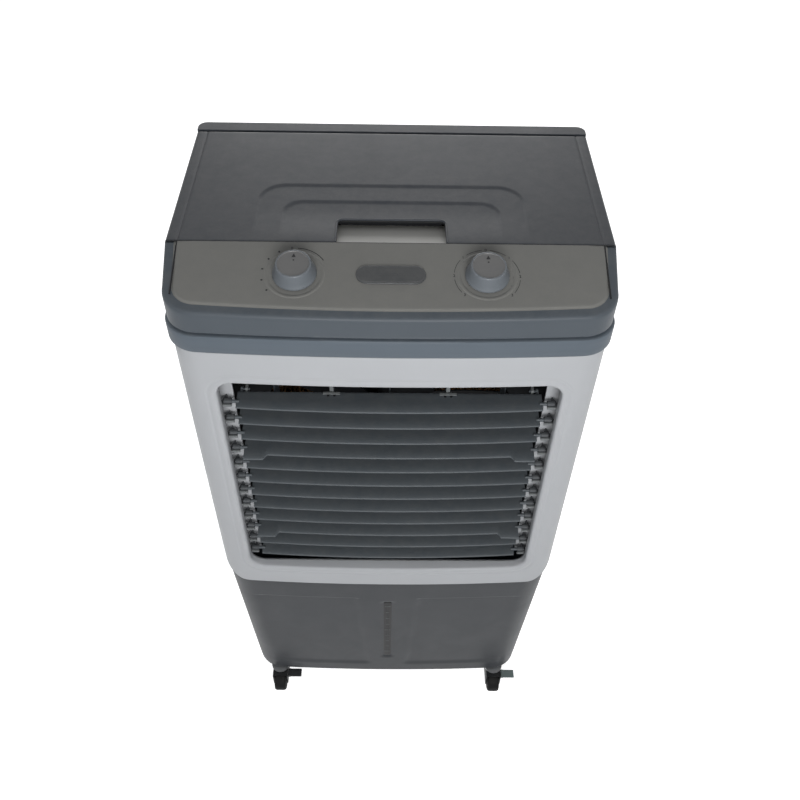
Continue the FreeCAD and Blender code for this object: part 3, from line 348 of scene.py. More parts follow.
def dust_group():
    """A thin film of dust on faces that look up, broken by noise."""
    white = (1, 1, 1, 1)
    inputs = [("Colour", COLOUR, white), ("Dust", COLOUR, white), ("Amount", FLOAT, 0.1)]
    group, entry, leave = new_group("Settled dust", inputs, [("Colour", COLOUR), ("Mask", FLOAT)])
    place = add(group, "ShaderNodeTexCoord")
    shape = add(group, "ShaderNodeNewGeometry")
    parts = add(group, "ShaderNodeSeparateXYZ")
    noise = add(group, "ShaderNodeTexNoise", sockets={"Scale": 60.0, "Detail": 8.0, "Roughness": 0.7})
    upward = add(group, "ShaderNodeMapRange", sockets={"From Min": 0.5, "From Max": 1.0})
    patchy = add(group, "ShaderNodeMapRange", sockets={"From Min": 0.35, "From Max": 0.75})
    first = add(group, "ShaderNodeMath", operation="MULTIPLY")
    second = add(group, "ShaderNodeMath", operation="MULTIPLY")
    blend = add(group, "ShaderNodeMix", data_type="RGBA")
    wire(group, (place, "Object", noise, "Vector"), (shape, "Normal", parts, 0),
                (parts, "Z", upward, "Value"), (noise, "Fac", patchy, "Value"),
                (upward, "Result", first, 0), (patchy, "Result", first, 1), (first, 0, second, 0),
                (entry, "Amount", second, 1), (second, 0, blend, "Factor"), (entry, "Colour", blend, 6),
                (entry, "Dust", blend, 7), (blend, 2, leave, "Colour"), (second, 0, leave, "Mask"))
    return group


DRIFT, GRAIN, HANDLING, DUST = drift_group(), grain_group(), handling_group(), dust_group()
DUST_COLOUR = (168, 164, 155)
COAT_ROUGHNESS, POLISH = 0.25, 0.16


def moulded(name, colour, roughness=0.5, drift=0.08, grain=0.12, dust=0.06, metallic=0.0,
            coat=0.0, grain_scale=1400.0, gloss=0.22):
    """A moulded or painted finish: drifting tone, dust on top faces, uneven polish and a fine grain."""
    material = bpy.data.materials.new(name)
    material.use_nodes = True
    tree = material.node_tree
    shader = tree.nodes["Principled BSDF"]
    for label, value in (("Metallic", metallic), ("Coat Weight", coat), ("Coat Roughness", COAT_ROUGHNESS),
                         ("Specular IOR Level", gloss)):
        shader.inputs[label].default_value = value
    tone = add(tree, "ShaderNodeGroup", node_tree=DRIFT, sockets={"Colour": linear(*colour), "Amount": drift})
    film = add(tree, "ShaderNodeGroup", node_tree=DUST, sockets={"Dust": linear(*DUST_COLOUR), "Amount": dust})
    worn = add(tree, "ShaderNodeGroup", node_tree=HANDLING, sockets={"Roughness": roughness, "Amount": POLISH})
    texture = add(tree, "ShaderNodeGroup", node_tree=GRAIN, sockets={"Scale": grain_scale})
    bump = add(tree, "ShaderNodeBump", sockets={"Strength": grain, "Distance": 0.0004})
    wire(tree, (tone, "Colour", film, "Colour"), (film, "Colour", shader, "Base Color"),
               (worn, "Roughness", shader, "Roughness"), (texture, "Height", bump, "Height"),
               (bump, "Normal", shader, "Normal"))
    return material


LID_PLASTIC = moulded("Lid plastic", (55, 58, 63), 0.44, grain=0.18)
PANEL_PLASTIC = moulded("Panel plastic", (110, 110, 107), 0.45, grain=0.16)
# The tongue is partly a paler plastic and partly painted light: its colour is raised so it stays bright in the
# lid's shadow.
TONGUE_PALE_AND_PAINTED_LIGHT = moulded("Tongue plastic with painted light", (200, 199, 194), 0.42, grain=0.16)
RIM_PLASTIC = moulded("Rim plastic", (70, 76, 82), 0.45, grain=0.16)
COLLAR_PLASTIC = moulded("Collar plastic", (82, 90, 98), 0.5)
WHITE_PLASTIC = moulded("White plastic", (163, 165, 168), 0.4, drift=0.04, grain=0.1)
CABINET_PLASTIC = moulded("Cabinet plastic", (176, 178, 180), 0.45, drift=0.04)
TANK_PLASTIC = moulded("Tank plastic", (37, 40, 44), 0.46, grain=0.2)
WINDOW_PLASTIC = moulded("Window plastic", (14, 15, 17), 0.4, drift=0.12, grain=0.04, gloss=0.16)
BLADE_PLASTIC = moulded("Blade plastic", (74, 79, 83), 0.4, grain=0.14)
BRACKET_PLASTIC = moulded("Bracket plastic", (104, 107, 108), 0.48)
BRACKET_DARK = moulded("Bracket dark", (70, 73, 76), 0.48)
# Black plastic for the real black parts, also used as painted shade for the panel grooves, the lid seam and the
# finger notch.
BLACK_PLASTIC_AND_SHADE = moulded("Black plastic and painted shade", (26, 27, 29), 0.5, dust=0.03, gloss=0.15)
KNOB_PLASTIC = moulded("Knob plastic", (96, 101, 106), 0.36, grain=0.08, coat=0.15)
KNOB_CAP = moulded("Knob cap", (99, 99, 99), 0.3, grain=0.05, coat=0.2)
BADGE_FINISH = moulded("Badge finish", (58, 60, 62), 0.32, grain=0.05, coat=0.3)
PRINT_INK = moulded("Print ink", (34, 35, 36), 0.55, drift=0.05, grain=0.03, dust=0.02)
PEDAL_DARK = moulded("Pedal dark", (32, 34, 38), 0.5)
PEDAL_GREY = moulded("Pedal grey", (96, 108, 107), 0.5)
WHEEL_RUBBER = moulded("Wheel rubber", (16, 16, 17), 0.62, grain=0.35, dust=0.03, gloss=0.12)
HUB_PLASTIC = moulded("Hub plastic", (30, 31, 33), 0.4)
ZINC = moulded("Zinc plated steel", (176, 178, 180), 0.36, metallic=0.9, grain=0.06, dust=0.05)
MOTOR_STEEL = moulded("Motor steel", (142, 145, 149), 0.4, metallic=0.85, grain=0.08)
HOSE_RUBBER = moulded("Hose rubber", (34, 35, 37), 0.55, grain=0.1)
PAD_PAPER = moulded("Pad paper", (122, 92, 60), 0.9, drift=0.35, grain=0.6, dust=0.0, grain_scale=700.0)


# ------------------------------------------------------------------ camera, light and floor
EYE = (-0.0006, -0.9106, 1.65305)
YAW, PITCH, ROLL = math.radians(1.025), math.radians(46.943), math.radians(1.295)


def add_camera():
    """A camera at the eye point, looking down at the front of the cooler."""
    forward = Vector((math.sin(YAW) * math.cos(PITCH), math.cos(YAW) * math.cos(PITCH), -math.sin(PITCH)))
    right = Vector((math.cos(YAW), -math.sin(YAW), 0))
    up = right.cross(forward)
    turned_right = math.cos(ROLL) * right + math.sin(ROLL) * up
    turned_up = -math.sin(ROLL) * right + math.cos(ROLL) * up
    data = bpy.data.cameras.new("Camera")
    data.lens = 38.97
    data.sensor_width = 36.0
    data.shift_y = -0.0149
    data.clip_start = 0.02
    camera = bpy.data.objects.new("Camera", data)
    turned = Matrix((turned_right, turned_up, -forward)).transposed()
    camera.matrix_world = Matrix.Translation(EYE) @ turned.to_4x4()
    bpy.context.scene.collection.objects.link(camera)
    bpy.context.scene.camera = camera


def add_lamp(name, place, aim, width, height, power):
    """A soft rectangular lamp at a place, aimed at a point."""
    data = bpy.data.lights.new(name, "AREA")
    data.shape = "RECTANGLE"
    data.size, data.size_y = width, height
    data.energy = power
    lamp = bpy.data.objects.new(name, data)
    lamp.location = place
    lamp.rotation_euler = (Vector(aim) - Vector(place)).to_track_quat("-Z", "Y").to_euler()
    bpy.context.scene.collection.objects.link(lamp)


def seen_directly(tree):
    """1 where a camera, mirror or glass ray meets the surface."""
    path = add(tree, "ShaderNodeLightPath")
    first = add(tree, "ShaderNodeMath", operation="MAXIMUM")
    second = add(tree, "ShaderNodeMath", operation="MAXIMUM")
    wire(tree, (path, "Is Camera Ray", first, 0), (path, "Is Glossy Ray", first, 1),
               (first, 0, second, 0), (path, "Is Transmission Ray", second, 1))
    return second.outputs[0]


def add_surroundings():
    """Pale floor and white world, both white to the camera, with the cooler's shadow on the floor."""
    world = bpy.data.worlds.new("Studio")
    bpy.context.scene.world = world
    world.use_nodes = True
    tree = world.node_tree
    dim = tree.nodes["Background"]
    dim.inputs["Color"].default_value = (0.95, 0.97, 1.0, 1.0)
    dim.inputs["Strength"].default_value = 0.26
    white = add(tree, "ShaderNodeBackground", sockets={"Strength": 1.0, "Color": (1, 1, 1, 1)})
    blend = add(tree, "ShaderNodeMixShader")
    tree.links.new(seen_directly(tree), blend.inputs[0])
    wire(tree, (dim, 0, blend, 1), (white, 0, blend, 2), (blend, 0, tree.nodes["World Output"], 0))

    material = bpy.data.materials.new("Pale floor")
    material.use_nodes = True
    tree = material.node_tree
    shader = tree.nodes["Principled BSDF"]
    shader.inputs["Base Color"].default_value = (0.8, 0.8, 0.8, 1.0)
    shader.inputs["Roughness"].default_value = 0.9
    glow = add(tree, "ShaderNodeEmission", sockets={"Color": (1, 1, 1, 1), "Strength": 0.8})
    both = add(tree, "ShaderNodeAddShader")
    blend = add(tree, "ShaderNodeMixShader")
    wire(tree, (shader, 0, both, 0), (glow, 0, both, 1))
    tree.links.new(seen_directly(tree), blend.inputs[0])
    wire(tree, (shader, 0, blend, 1), (both, 0, blend, 2), (blend, 0, tree.nodes["Material Output"], 0))
    mesh = bpy.data.meshes.new("Floor")
    mesh.from_pydata([(-9, -9, 0), (9, -9, 0), (9, 9, 0), (-9, 9, 0)], [], [(0, 1, 2, 3)])
    mesh.materials.append(material)
    floor = bpy.data.objects.new("Floor", mesh)
    bpy.context.scene.collection.objects.link(floor)


add_camera()
add_lamp("Front", (0.1, -1.5, 1.4), (0, 0, 0.95), 0.9, 0.7, 23)
add_lamp("Left", (-2.0, -0.1, 1.3), (0, 0, 0.5), 1.2, 1.2, 3)
add_lamp("Right", (2.0, -0.1, 1.3), (0, 0, 0.5), 1.2, 1.2, 4)
add_lamp("Behind", (0.0, 2.4, 1.5), (0, 0, 0.5), 1.6, 1.2, 20)
add_surroundings()
bpy.context.scene.view_settings.view_transform = "Standard"


# ------------------------------------------------------------------ control panel
def slope_level(y):
    """Height of the panel's sloping plane."""
    return LID_TOP - (SEAM_Y - y) * math.tan(SLOPE)


def on_panel(x, back, lift=0.0):
    """A point on the panel's face, so far in front of the seam and above the face."""
    spot = Vector((x, SEAM_Y - back, LID_TOP - back * math.tan(SLOPE))) + PANEL_UP * lift
    return np.array(spot)


CAP_HALF = LID_HIGH[0]
PANEL_TAPER, PANEL_CORNER = 6.0, 40
RIM_BORDER = [(0, 5.6), (0.35, 3.9), (1.3, 2.5), (2.8, 1.7), (4.4, 1.5), (8.0, 1.45), (11.4, 1.45)]
RIM_FILLET = [(11.4, 1.45), (12.3, 1.3), (13.2, 0.75), (14.0, 0.25), (15.0, 0.03), (17.0, 0.0)]


def panel_outline(inset):
    """Right half of the panel's plan, drawn in by an inset."""
    half, front = CAP_HALF - PANEL_TAPER - inset, PANEL_LOW[1] + inset
    return half_plan(half, front, SEAM_Y, BOW, PANEL_CORNER - inset, PANEL_TAPER)


def rim_rows(profile):
    """Rows of the panel's rim: each profile point is drawn in by its inset and lies below the slope."""
    rows = []
    for inset, drop in profile:
        outline = mirrored(panel_outline(inset), False)
        rows.append(level(outline, slope_level(outline[:, 1]) - drop))
    return np.stack(rows)


def build_panel():
    """Wall from the neck to the rim, a low border, a fillet and the raised plateau."""
    foot = mirrored(panel_outline(0.0), False)
    lowest, top = level(foot, PANEL_LOW[2] + 1.2), rim_rows(RIM_BORDER[:1])[0]
    undercut = mirrored(panel_outline(1.0), False)
    wall = [level(undercut, PANEL_LOW[2])] + [lowest + (top - lowest) * share for share in np.linspace(0, 1, 8)]
    plateau = across(panel_outline(RIM_FILLET[-1][0]), slope_level, 30)
    crest = plateau[-1]
    rear_wall = np.stack([crest - np.array([0, 0, 1]) * depth for depth in (0, 6, 12, 20)])
    piece("control_panel_shell", [np.stack(wall), rim_rows(RIM_BORDER), sheet(rim_rows(RIM_FILLET), paint=1),
                                  sheet(plateau, paint=1), rear_wall],
          [RIM_PLASTIC, PANEL_PLASTIC], HOUSING, ["control_panel"], thickness=2.6, crease=40)
    # Painted shade: a black bead along each side groove stands in for the shade in the groove.
    for side in (-1, 1):
        groove = [(x, y) for x, y in line((side * 255, SEAM_Y - 0.4), (side * 252.5, SEAM_Y - 78), 12)]
        bead_along([(x, y, slope_level(y) - 0.15) for x, y in groove], 0.9, "panel_groove_shade_%s" % side_name(side),
                   BLACK_PLASTIC_AND_SHADE)


def side_name(side):
    """The word for a side given as -1 or 1."""
    return "left" if side < 0 else "right"


def bead_along(route, radius, name, material, body=HOUSING, count=10, flatten=1.0):
    """A round bead carried along a route: a ring square to each stretch, in millimetres."""
    route = np.array(route, dtype=float)
    ahead = np.roll(route, -1, axis=0) - np.roll(route, 1, axis=0)
    ahead[0], ahead[-1] = route[1] - route[0], route[-1] - route[-2]
    ahead /= np.linalg.norm(ahead, axis=1)[:, None]
    upright = np.tile(np.array([0.0, 0.0, 1.0]), (len(route), 1))
    steep = np.abs(ahead[:, 2]) > 0.9
    upright[steep] = (0, 1, 0)
    first = np.cross(ahead, upright)
    first /= np.linalg.norm(first, axis=1)[:, None]
    second = np.cross(first, ahead)
    angle = np.linspace(0, 2 * math.pi, count, endpoint=False)
    ring = first[:, None, :] * np.cos(angle)[None, :, None] * radius
    ring = ring + second[:, None, :] * np.sin(angle)[None, :, None] * radius * flatten
    first_end, last_end = (np.repeat(end[None, None], count, axis=1) for end in (route[0], route[-1]))
    grid = np.concatenate([first_end, route[:, None, :] + ring, last_end])
    piece(name, [sheet(grid, RING)], [material], body, crease=60)


def build_tongue():
    """The slanted tongue that shows behind the finger notch: a thin slab with rounded ends."""
    half, reach, drop = 73.0, 62.0, 16.0
    top = [(SEAM_Y - 1.5, LID_TOP - 2.2), (SEAM_Y + 0.5, LID_TOP - 3.4), (SEAM_Y + reach, LID_TOP - 3.4 - drop)]
    under = [(SEAM_Y + reach, LID_TOP - 6 - drop), (SEAM_Y - 1.5, LID_TOP - 6)]
    section = np.array(top + under)
    stations = np.linspace(-half, half, 12)
    grid = np.stack([np.column_stack([np.full(len(section), x), section]) for x in stations])
    ends = [np.stack([grid[row], np.tile(grid[row].mean(axis=0), (len(section), 1))]) for row in (0, -1)]
    piece("finger_tongue", [sheet(grid, RING)] + [sheet(end, RING) for end in ends],
          [TONGUE_PALE_AND_PAINTED_LIGHT], HOUSING, bevel=0.5)
    seam = [(x, SEAM_Y + 0.15, LID_TOP - 0.35) for x in np.linspace(-CAP_HALF + 1.5, CAP_HALF - 1.5, 40)]
    bead_along(seam, 0.55, "panel_seam_shadow", BLACK_PLASTIC_AND_SHADE, count=6)


# ------------------------------------------------------------------ lid
KNUCKLE_X = 195
BARREL_RADIUS, BARREL_END = 6.5, 35
NOTCH_HALF, NOTCH_REACH, NOTCH_CORNER = 67, 50, 8
U_STEPS = ((166, 39, 32), (134, 5, 24))      # half width, rear edge and corner of each step
U_DROP, U_SOFTNESS = 1.3, 4.0
SIDE_GROOVE_X = 255


def lid_features(x, y):
    """How far the lid's skin lies below its top plane: side grooves and the stepped U."""
    grooves = 1.1 * np.exp(-((np.abs(x) - SIDE_GROOVE_X) / 1.4) ** 2)
    fade = step(y + 44, 64)
    sunk = sum(U_DROP * step(inside_distance(x, y, half, SEAM_Y - 90, rear, corner), U_SOFTNESS)
               for half, rear, corner in U_STEPS)
    return grooves + fade * sunk


def build_lid():
    """Height grid over the lid: rounded sides, a front edge, a rear barrel, grooves and the stepped U."""
    barrel, hinge_level = BARREL_RADIUS, LID_TOP - BARREL_RADIUS
    hinge_y = LID_HIGH[1] - barrel * math.cos(math.radians(BARREL_END))
    half = CAP_HALF
    edge = np.array([(0, 48), (0, 30), (0, 15), (0, 4.5), (0.4, 3.0), (1.3, 1.6), (2.6, 0.6), (4.4, 0.05),
                     (6, 0)])
    flat_x = np.concatenate([np.linspace(half - 9, 240, 18), np.linspace(237, 172, 16),
                             np.linspace(170, 128, 30), np.linspace(125, 76, 18), np.linspace(74, 60, 15)])
    right_x = np.concatenate([half - edge[:, 0], flat_x, np.linspace(56, 0, 16)])
    right_drop = np.concatenate([edge[:, 1], np.zeros(len(flat_x) + 16)])
    stations_x = np.concatenate([right_x, -right_x[-2::-1]])
    drop_x = np.concatenate([right_drop, right_drop[-2::-1]])
    front = LID_LOW[1]
    angle = np.radians(np.linspace(90, BARREL_END, 9))
    rear_y, rear_drop = hinge_y + barrel * np.cos(angle), barrel - barrel * np.sin(angle)
    lead = np.array([(0, 3), (0, 1.2), (0.3, 0.5), (0.9, 0.1), (1.8, 0)])
    flat_y = np.concatenate([front + np.linspace(4, 48, 34), np.linspace(front + 49.5, hinge_y - 2, 100)])
    stations_y = np.concatenate([front + lead[:, 0], flat_y, rear_y])
    drop_y = np.concatenate([lead[:, 1], np.zeros(len(flat_y)), rear_drop])
    x, y = np.meshgrid(stations_x, stations_y, indexing="ij")
    drop = np.maximum(drop_x[:, None], drop_y[None, :])
    z = LID_TOP - drop - lid_features(x, y) * (drop < 1)
    grid = np.stack([x, y, z], axis=-1)
    middle_x = (x[:-1, :-1] + x[1:, 1:]) / 2
    middle_y = (y[:-1, :-1] + y[1:, 1:]) / 2
    notch_rear = SEAM_Y + NOTCH_REACH
    keep = inside_distance(middle_x, middle_y, NOTCH_HALF, front - 60, notch_rear, NOTCH_CORNER) < 0.4
    keep &= ~((middle_y > hinge_y - 2) & (np.maximum(drop_x[:-1], drop_x[1:])[:, None] > 14))
    piece("lid_shell", [sheet(grid, keep=keep)], [LID_PLASTIC], "lid", ["lid"],
          thickness=2.6, crease=48)
    turn_x, turn_y = NOTCH_HALF - NOTCH_CORNER, notch_rear - NOTCH_CORNER
    outline = both_halves(join(line((NOTCH_HALF, front + 0.8), (NOTCH_HALF, turn_y), 12),
                               arc((turn_x, turn_y), NOTCH_CORNER, 0, 90, 10),
                               line((turn_x, notch_rear), (0, notch_rear), 12)))
    height = LID_TOP - 0.5 - lid_features(outline[:, 0], outline[:, 1])
    bead_along(level(outline, height), 1.5, "lid_notch_lip", LID_PLASTIC, body="lid", flatten=0.9)
    # Painted shade: a flattened black bead under the notch lip stands in for the shade under the lid's edge.
    under = level(outline, height - 3.4)
    bead_along(under, 1.2, "lid_notch_underside_shade", BLACK_PLASTIC_AND_SHADE, body="lid", flatten=1.6)
    # Painted shade: a flat black sheet across the rear of the notch stands in for the dark void in shadow under
    # the lid.
    shade_sheet = [(x, notch_rear + 1, LID_TOP - 7.2) for x in np.linspace(5 - NOTCH_HALF, NOTCH_HALF - 5, 30)]
    bead_along(shade_sheet, 1.0, "lid_notch_shade_sheet", BLACK_PLASTIC_AND_SHADE, body="lid", flatten=5.0)
    for side in (-1, 1):
        knuckle = [(0, -12), (3.6, -12), (4.2, -11.4), (4.2, 11.4), (3.6, 12), (0, 12)]
        piece("lid_knuckle_%s" % side_name(side),
              [lathe(knuckle, (side * KNUCKLE_X, hinge_y, hinge_level), (1, 0, 0), 24)],
              [LID_PLASTIC], "lid")


# ------------------------------------------------------------------ collar and fill tray deck
def build_collar():
    """Band with rounded edges, a deck and a low neck, closed in to the hole of the fill tray."""
    half, front, rear = COLLAR_HIGH[0], COLLAR_LOW[1], COLLAR_HIGH[1]
    low, crest = COLLAR_LOW[2], COLLAR_HIGH[2]
    top = crest - 5.0
    profile = [(6, low + 3), (6, low), (1.6, low), (0.5, low + 0.6), (0, low + 1.8), (0, low + 9), (0, top - 9),
               (0, top - 2.4), (0.5, top - 0.9), (1.8, top - 0.1), (3.2, top), (5.8, top), (6.0, top + 0.3),
               (6.2, crest - 0.5), (6.7, crest), (8.6, crest), (9, crest - 0.5), (9.2, top)]
    rows = []
    for inset, height in profile:
        right = half_plan(half - inset, front + inset, rear - inset, BOW, 42 - inset, 0.0, 14 - inset)
        rows.append(level(mirrored(right, True), height))
    rows = np.stack(rows)
    middle_y = (TRAY_LOW[1] + TRAY_HIGH[1]) / 2
    hole_half, hole_depth = TRAY_HIGH[0] - 8, (TRAY_HIGH[1] - TRAY_LOW[1]) / 2 - 8
    last = rows[-1]
    scaled = np.stack([np.clip(last[:, 0] * 1.4, -hole_half, hole_half),
                       np.clip((last[:, 1] - middle_y) * 1.5, -hole_depth, hole_depth) + middle_y,
                       np.full(len(last), top)], axis=1)
    deck = last[None] + (scaled - last)[None] * np.linspace(0, 1, 12)[:, None, None]
    piece("collar_band", [sheet(rows, RING), sheet(deck, RING)], [COLLAR_PLASTIC], HOUSING,
          ["top_collar"], crease=40)


# ------------------------------------------------------------------ front frame
FRAME_FRONT = FRAME_LOW[1]
OPENING_FOOT_Z = FRAME_LOW[2] + OPENING_FOOT
OPENING_HEAD_Z = OPENING_FOOT_Z + OPENING_HEIGHT
FOOT_ROUND = 45.0


def unrolled_front():
    """Right half of the frame's plan with the distance along it and its outward direction."""
    right = half_plan(FRAME_HIGH[0], FRAME_FRONT, FRAME_HIGH[1], BOW, 38)
    run = np.concatenate([[0], np.cumsum(np.hypot(*np.diff(right, axis=0).T))])
    ahead = np.gradient(right, run, axis=0)
    return right, run, np.stack([ahead[:, 1], -ahead[:, 0]], axis=1)


PLAN, RUN, OUTWARD = unrolled_front()


def on_front(u, z, sink=0.0):
    """Wrap unrolled points round the bowed front, sunk below it along its outward direction."""
    side = np.where(u < 0, -1.0, 1.0)
    x = np.interp(np.abs(u), RUN, PLAN[:, 0])
    y = np.interp(np.abs(u), RUN, PLAN[:, 1])
    out_x = np.interp(np.abs(u), RUN, OUTWARD[:, 0])
    out_y = np.interp(np.abs(u), RUN, OUTWARD[:, 1])
    length = np.hypot(out_x, out_y)
    return np.stack([side * (x - out_x / length * sink), y - out_y / length * sink, z], axis=-1)


def frame_edge_loop(trim):
    """Outer edge of the frame, unrolled: flat foot, round foot corners, sides and top."""
    half, low, high = FRAME_HIGH[0], FRAME_LOW[2] + trim, FRAME_HIGH[2] - trim
    end = RUN[-1] - trim
    turn = np.radians(np.linspace(0, 90, 15))
    corner_x = half - FOOT_ROUND + FOOT_ROUND * np.sin(turn)
    corner_u = np.interp(corner_x, PLAN[:, 0], RUN)
    corner_u[-1] = RUN[np.argmax(PLAN[:, 0] >= half - 0.01)]
    corner = np.stack([corner_u, low + FOOT_ROUND * (1 - np.cos(turn))], axis=1)
    foot_end = corner[-1]
    right = join(line((0, low), corner[0], 40), corner, line(foot_end, (end, foot_end[1]), 4),
                 line((end, foot_end[1]), (end, high - 2), 40), arc((end - 2, high - 2), 2, 0, 90, 18),
                 line((end - 2, high), (0, high), 40))
    return mirrored(right, True)


def build_front_frame():
    """Bowed face between the opening and the outer edge, its rim, groove, sleeve and returns."""
    rim = [(0.0, 5.0), (0.25, 3.4), (1.0, 1.9), (2.2, 0.8), (3.6, 0.2), (5.0, 0), (8.6, 0), (10.2, 0.5),
           (11.4, 0.9), (12.6, 0.9), (13.8, 0.5), (15.4, 0), (17, 0)]
    rows = []
    back = FRAME_FRONT + SILL_DEPTH
    for spread, sink in rim:
        opening = rounded_loop(OPENING_HALF + spread, OPENING_FOOT_Z - spread, OPENING_HEAD_Z + spread,
                               OPENING_CORNER + spread)
        rows.append(on_front(opening[:, 0], opening[:, 1], sink))
    first = rows[0]
    deep = first.copy()
    deep[:, 1] = back
    sleeve = [deep + (first - deep) * share for share in (0, 0.3, 0.7)]
    inner = rounded_loop(OPENING_HALF + 17, OPENING_FOOT_Z - 17, OPENING_HEAD_Z + 17, OPENING_CORNER + 17)
    outer = frame_edge_loop(0.8)
    face = [inner + (outer - inner) * share for share in np.linspace(0, 1, 34)[1:]]
    rows += [on_front(loop[:, 0], loop[:, 1]) for loop in face]
    last = frame_edge_loop(0.0)
    rows += [on_front(last[:, 0], last[:, 1], 0.9), on_front(last[:, 0], last[:, 1], 4.0)]
    piece("front_frame_shell", [sheet(np.stack(sleeve + rows), RING)], [WHITE_PLASTIC], HOUSING,
          ["front_frame"], thickness=2.4, crease=50)


# ------------------------------------------------------------------ water tank
TANK_FLOOR = 50.0
TANK_LEAN = 20.0
TUB_FLOOR_HALF = 247.5
FLOOR_ARCH, ARCH_HALF = 5.0, 170
PRESSED_FOOT, PRESSED_TOP, PRESSED_SIDE = 90, 359, 212
PRESSED_INNER_FOOT, PRESSED_INNER_TOP = 35.7, 51.3


def floor_arch(x):
    """How far the middle of the tub's floor is raised."""
    return FLOOR_ARCH * np.clip(1 - (x / ARCH_HALF) ** 2, 0, 1)


def tank_front(share):
    """The tub's front in the middle: it leans in towards the floor, where share is 0."""
    return FRAME_FRONT + 4 + TANK_LEAN * (1 - share)


def tank_plan(share, inset):
    """Half outline of the tub: share 0 at the floor and 1 at the top."""
    half = TUB_FLOOR_HALF + (TANK_HIGH[0] - 0.5 - TUB_FLOOR_HALF) * share - inset
    front = tank_front(share) + inset
    rear = CABINET_HIGH[1] - TANK_LEAN * (1 - share) - inset
    corner = max(45 - inset, 4)
    return half_plan(half, front, rear, BOW, corner, 0.0, corner)


def tank_relief(x, z):
    """How far the front is pressed in: the window slot and two shallow panels with slanted ends."""
    slot = step(9.3 - np.abs(x), 1.2) * step(z - WINDOW_LOW[2] + 0.3, 1.2) * step(WINDOW_HIGH[2] + 0.3 - z, 1.2)
    rise = np.clip((z - PRESSED_FOOT) / (PRESSED_TOP - PRESSED_FOOT), 0, 1)
    inner = PRESSED_INNER_FOOT + (PRESSED_INNER_TOP - PRESSED_INNER_FOOT) * rise
    panel = step(np.abs(x) - inner, 3.0) * step(PRESSED_TOP - z, 3.0)
    panel = panel * step(z - PRESSED_FOOT - 2, 14.0) * step(PRESSED_SIDE - np.abs(x), 26.0)
    return 2.6 * slot + 1.8 * panel


def build_tank():
    """Stacked outlines of the tub with its pressed front, a rounded floor edge and the upper lip."""
    top = FRAME_LOW[2] - 0.3
    panel_edge = PRESSED_TOP + np.linspace(-3, 3, 5)
    levels = np.unique(np.concatenate([np.linspace(TANK_FLOOR + 8, top - 1, 96), panel_edge]))
    rows = []
    for inset, height in ((9, 0.0), (5.4, 0.7), (2.6, 2.4), (0.9, 5.0)):
        right = tank_plan(0.0, inset)
        rows.append(level(mirrored(right, True), TANK_FLOOR + height))
    for height in levels:
        right = tank_plan((height - TANK_FLOOR) / (top - TANK_FLOOR), 0.0)
        ring = level(mirrored(right, True), height)
        front_side = (ring[:, 1] < FRAME_FRONT + 60)
        ring[:, 1] += tank_relief(ring[:, 0], ring[:, 2]) * front_side
        rows.append(ring)
    for ring in rows:
        ring[:, 2] += floor_arch(ring[:, 0]) * np.clip(1 - (ring[:, 2] - TANK_FLOOR) / 14, 0, 1)
    for inset, height in ((0.6, top), (3, top)):
        rows.append(level(mirrored(tank_plan(1.0, inset), True), height))
    floor = across(tank_plan(0.0, 9), TANK_FLOOR, 24)
    floor[..., 2] += floor_arch(floor[..., 0])
    roof = across(tank_plan(1.0, 3), top, 2)
    piece("tank_tub", [sheet(np.stack(rows), RING), floor,
                       roof],
          [TANK_PLASTIC], HOUSING, ["water_tank"], crease=42)
    low, high = FRAME_LOW[2] - 38.0, TANK_HIGH[2]
    lip = []
    for inset, height in ((1.4, low), (0, low + 1.4), (0, high - 1.4), (0.4, high - 0.4), (1.4, high)):
        side, front, rear = TANK_HIGH[0], CABINET_LOW[1] + inset, CABINET_HIGH[1]
        box = [(0, front), (side - inset, front), (side - inset, rear - 14), (side - 4.1 - inset, rear - 4.1),
               (side - 14, rear - inset), (0, rear - inset)]
        lip.append(level(mirrored(np.array(box), True), height))
    ends = [across(ring[:6, :2], ring[0, 2]) for ring in (lip[0], lip[-1])]
    piece("tank_lip", [sheet(np.stack(lip), RING)] + ends, [TANK_PLASTIC], HOUSING)


def build_window():
    """Clear level strip: a long plate with rounded ends and a crowned face, with short level marks."""
    low, high, half = WINDOW_LOW[2] + 1, WINDOW_HIGH[2] - 1, 7.6
    rows = []
    for inset, lift in ((0, -1.4), (0, -0.4), (0.5, 0.1), (1.4, 0.4), (3.5, 0.6), (half - 0.3, 0.7)):
        loop = rounded_loop(half - inset, low + inset, high - inset, max(half - inset - 0.2, 0.1), (3, 9, 30))
        share = (loop[:, 1] - TANK_FLOOR) / (FRAME_LOW[2] - TANK_FLOOR)
        y = tank_front(share) + 2.2 - lift
        rows.append(np.stack([loop[:, 0], y, loop[:, 1]], axis=1))
    piece("level_strip", [sheet(np.stack(rows), RING)], [WINDOW_PLASTIC], HOUSING,
          ["level_window"], crease=60, merge=0.03)
    for number in range(9):
        height = low + 20 + number * 23
        share = (height - TANK_FLOOR) / (FRAME_LOW[2] - TANK_FLOOR)
        reach = 5.0 if number % 4 == 0 else 3.0
        y = tank_front(share) + 1.55
        bead_along([(x, y, height) for x in (-reach, 0, reach)], 0.35, "level_mark_%d" % (number + 1),
                   BRACKET_PLASTIC, count=6)


# ------------------------------------------------------------------ cabinet, pad and rear
def end_face(ring):
    """The flat face inside a ring of four points."""
    return np.stack([ring[[0, 1]], ring[[3, 2]]])


def brick(low, high, paint=0):
    """Sheets of a small closed block between two corners."""
    (x_low, y_low, z_low), (x_high, y_high, z_high) = low, high
    ring = np.array([(x_low, y_low), (x_high, y_low), (x_high, y_high), (x_low, y_high)])
    rows = np.stack([level(ring, height) for height in (z_low, z_high)])
    return [sheet(rows, RING, paint=paint)] + [sheet(end_face(row), paint=paint) for row in rows]


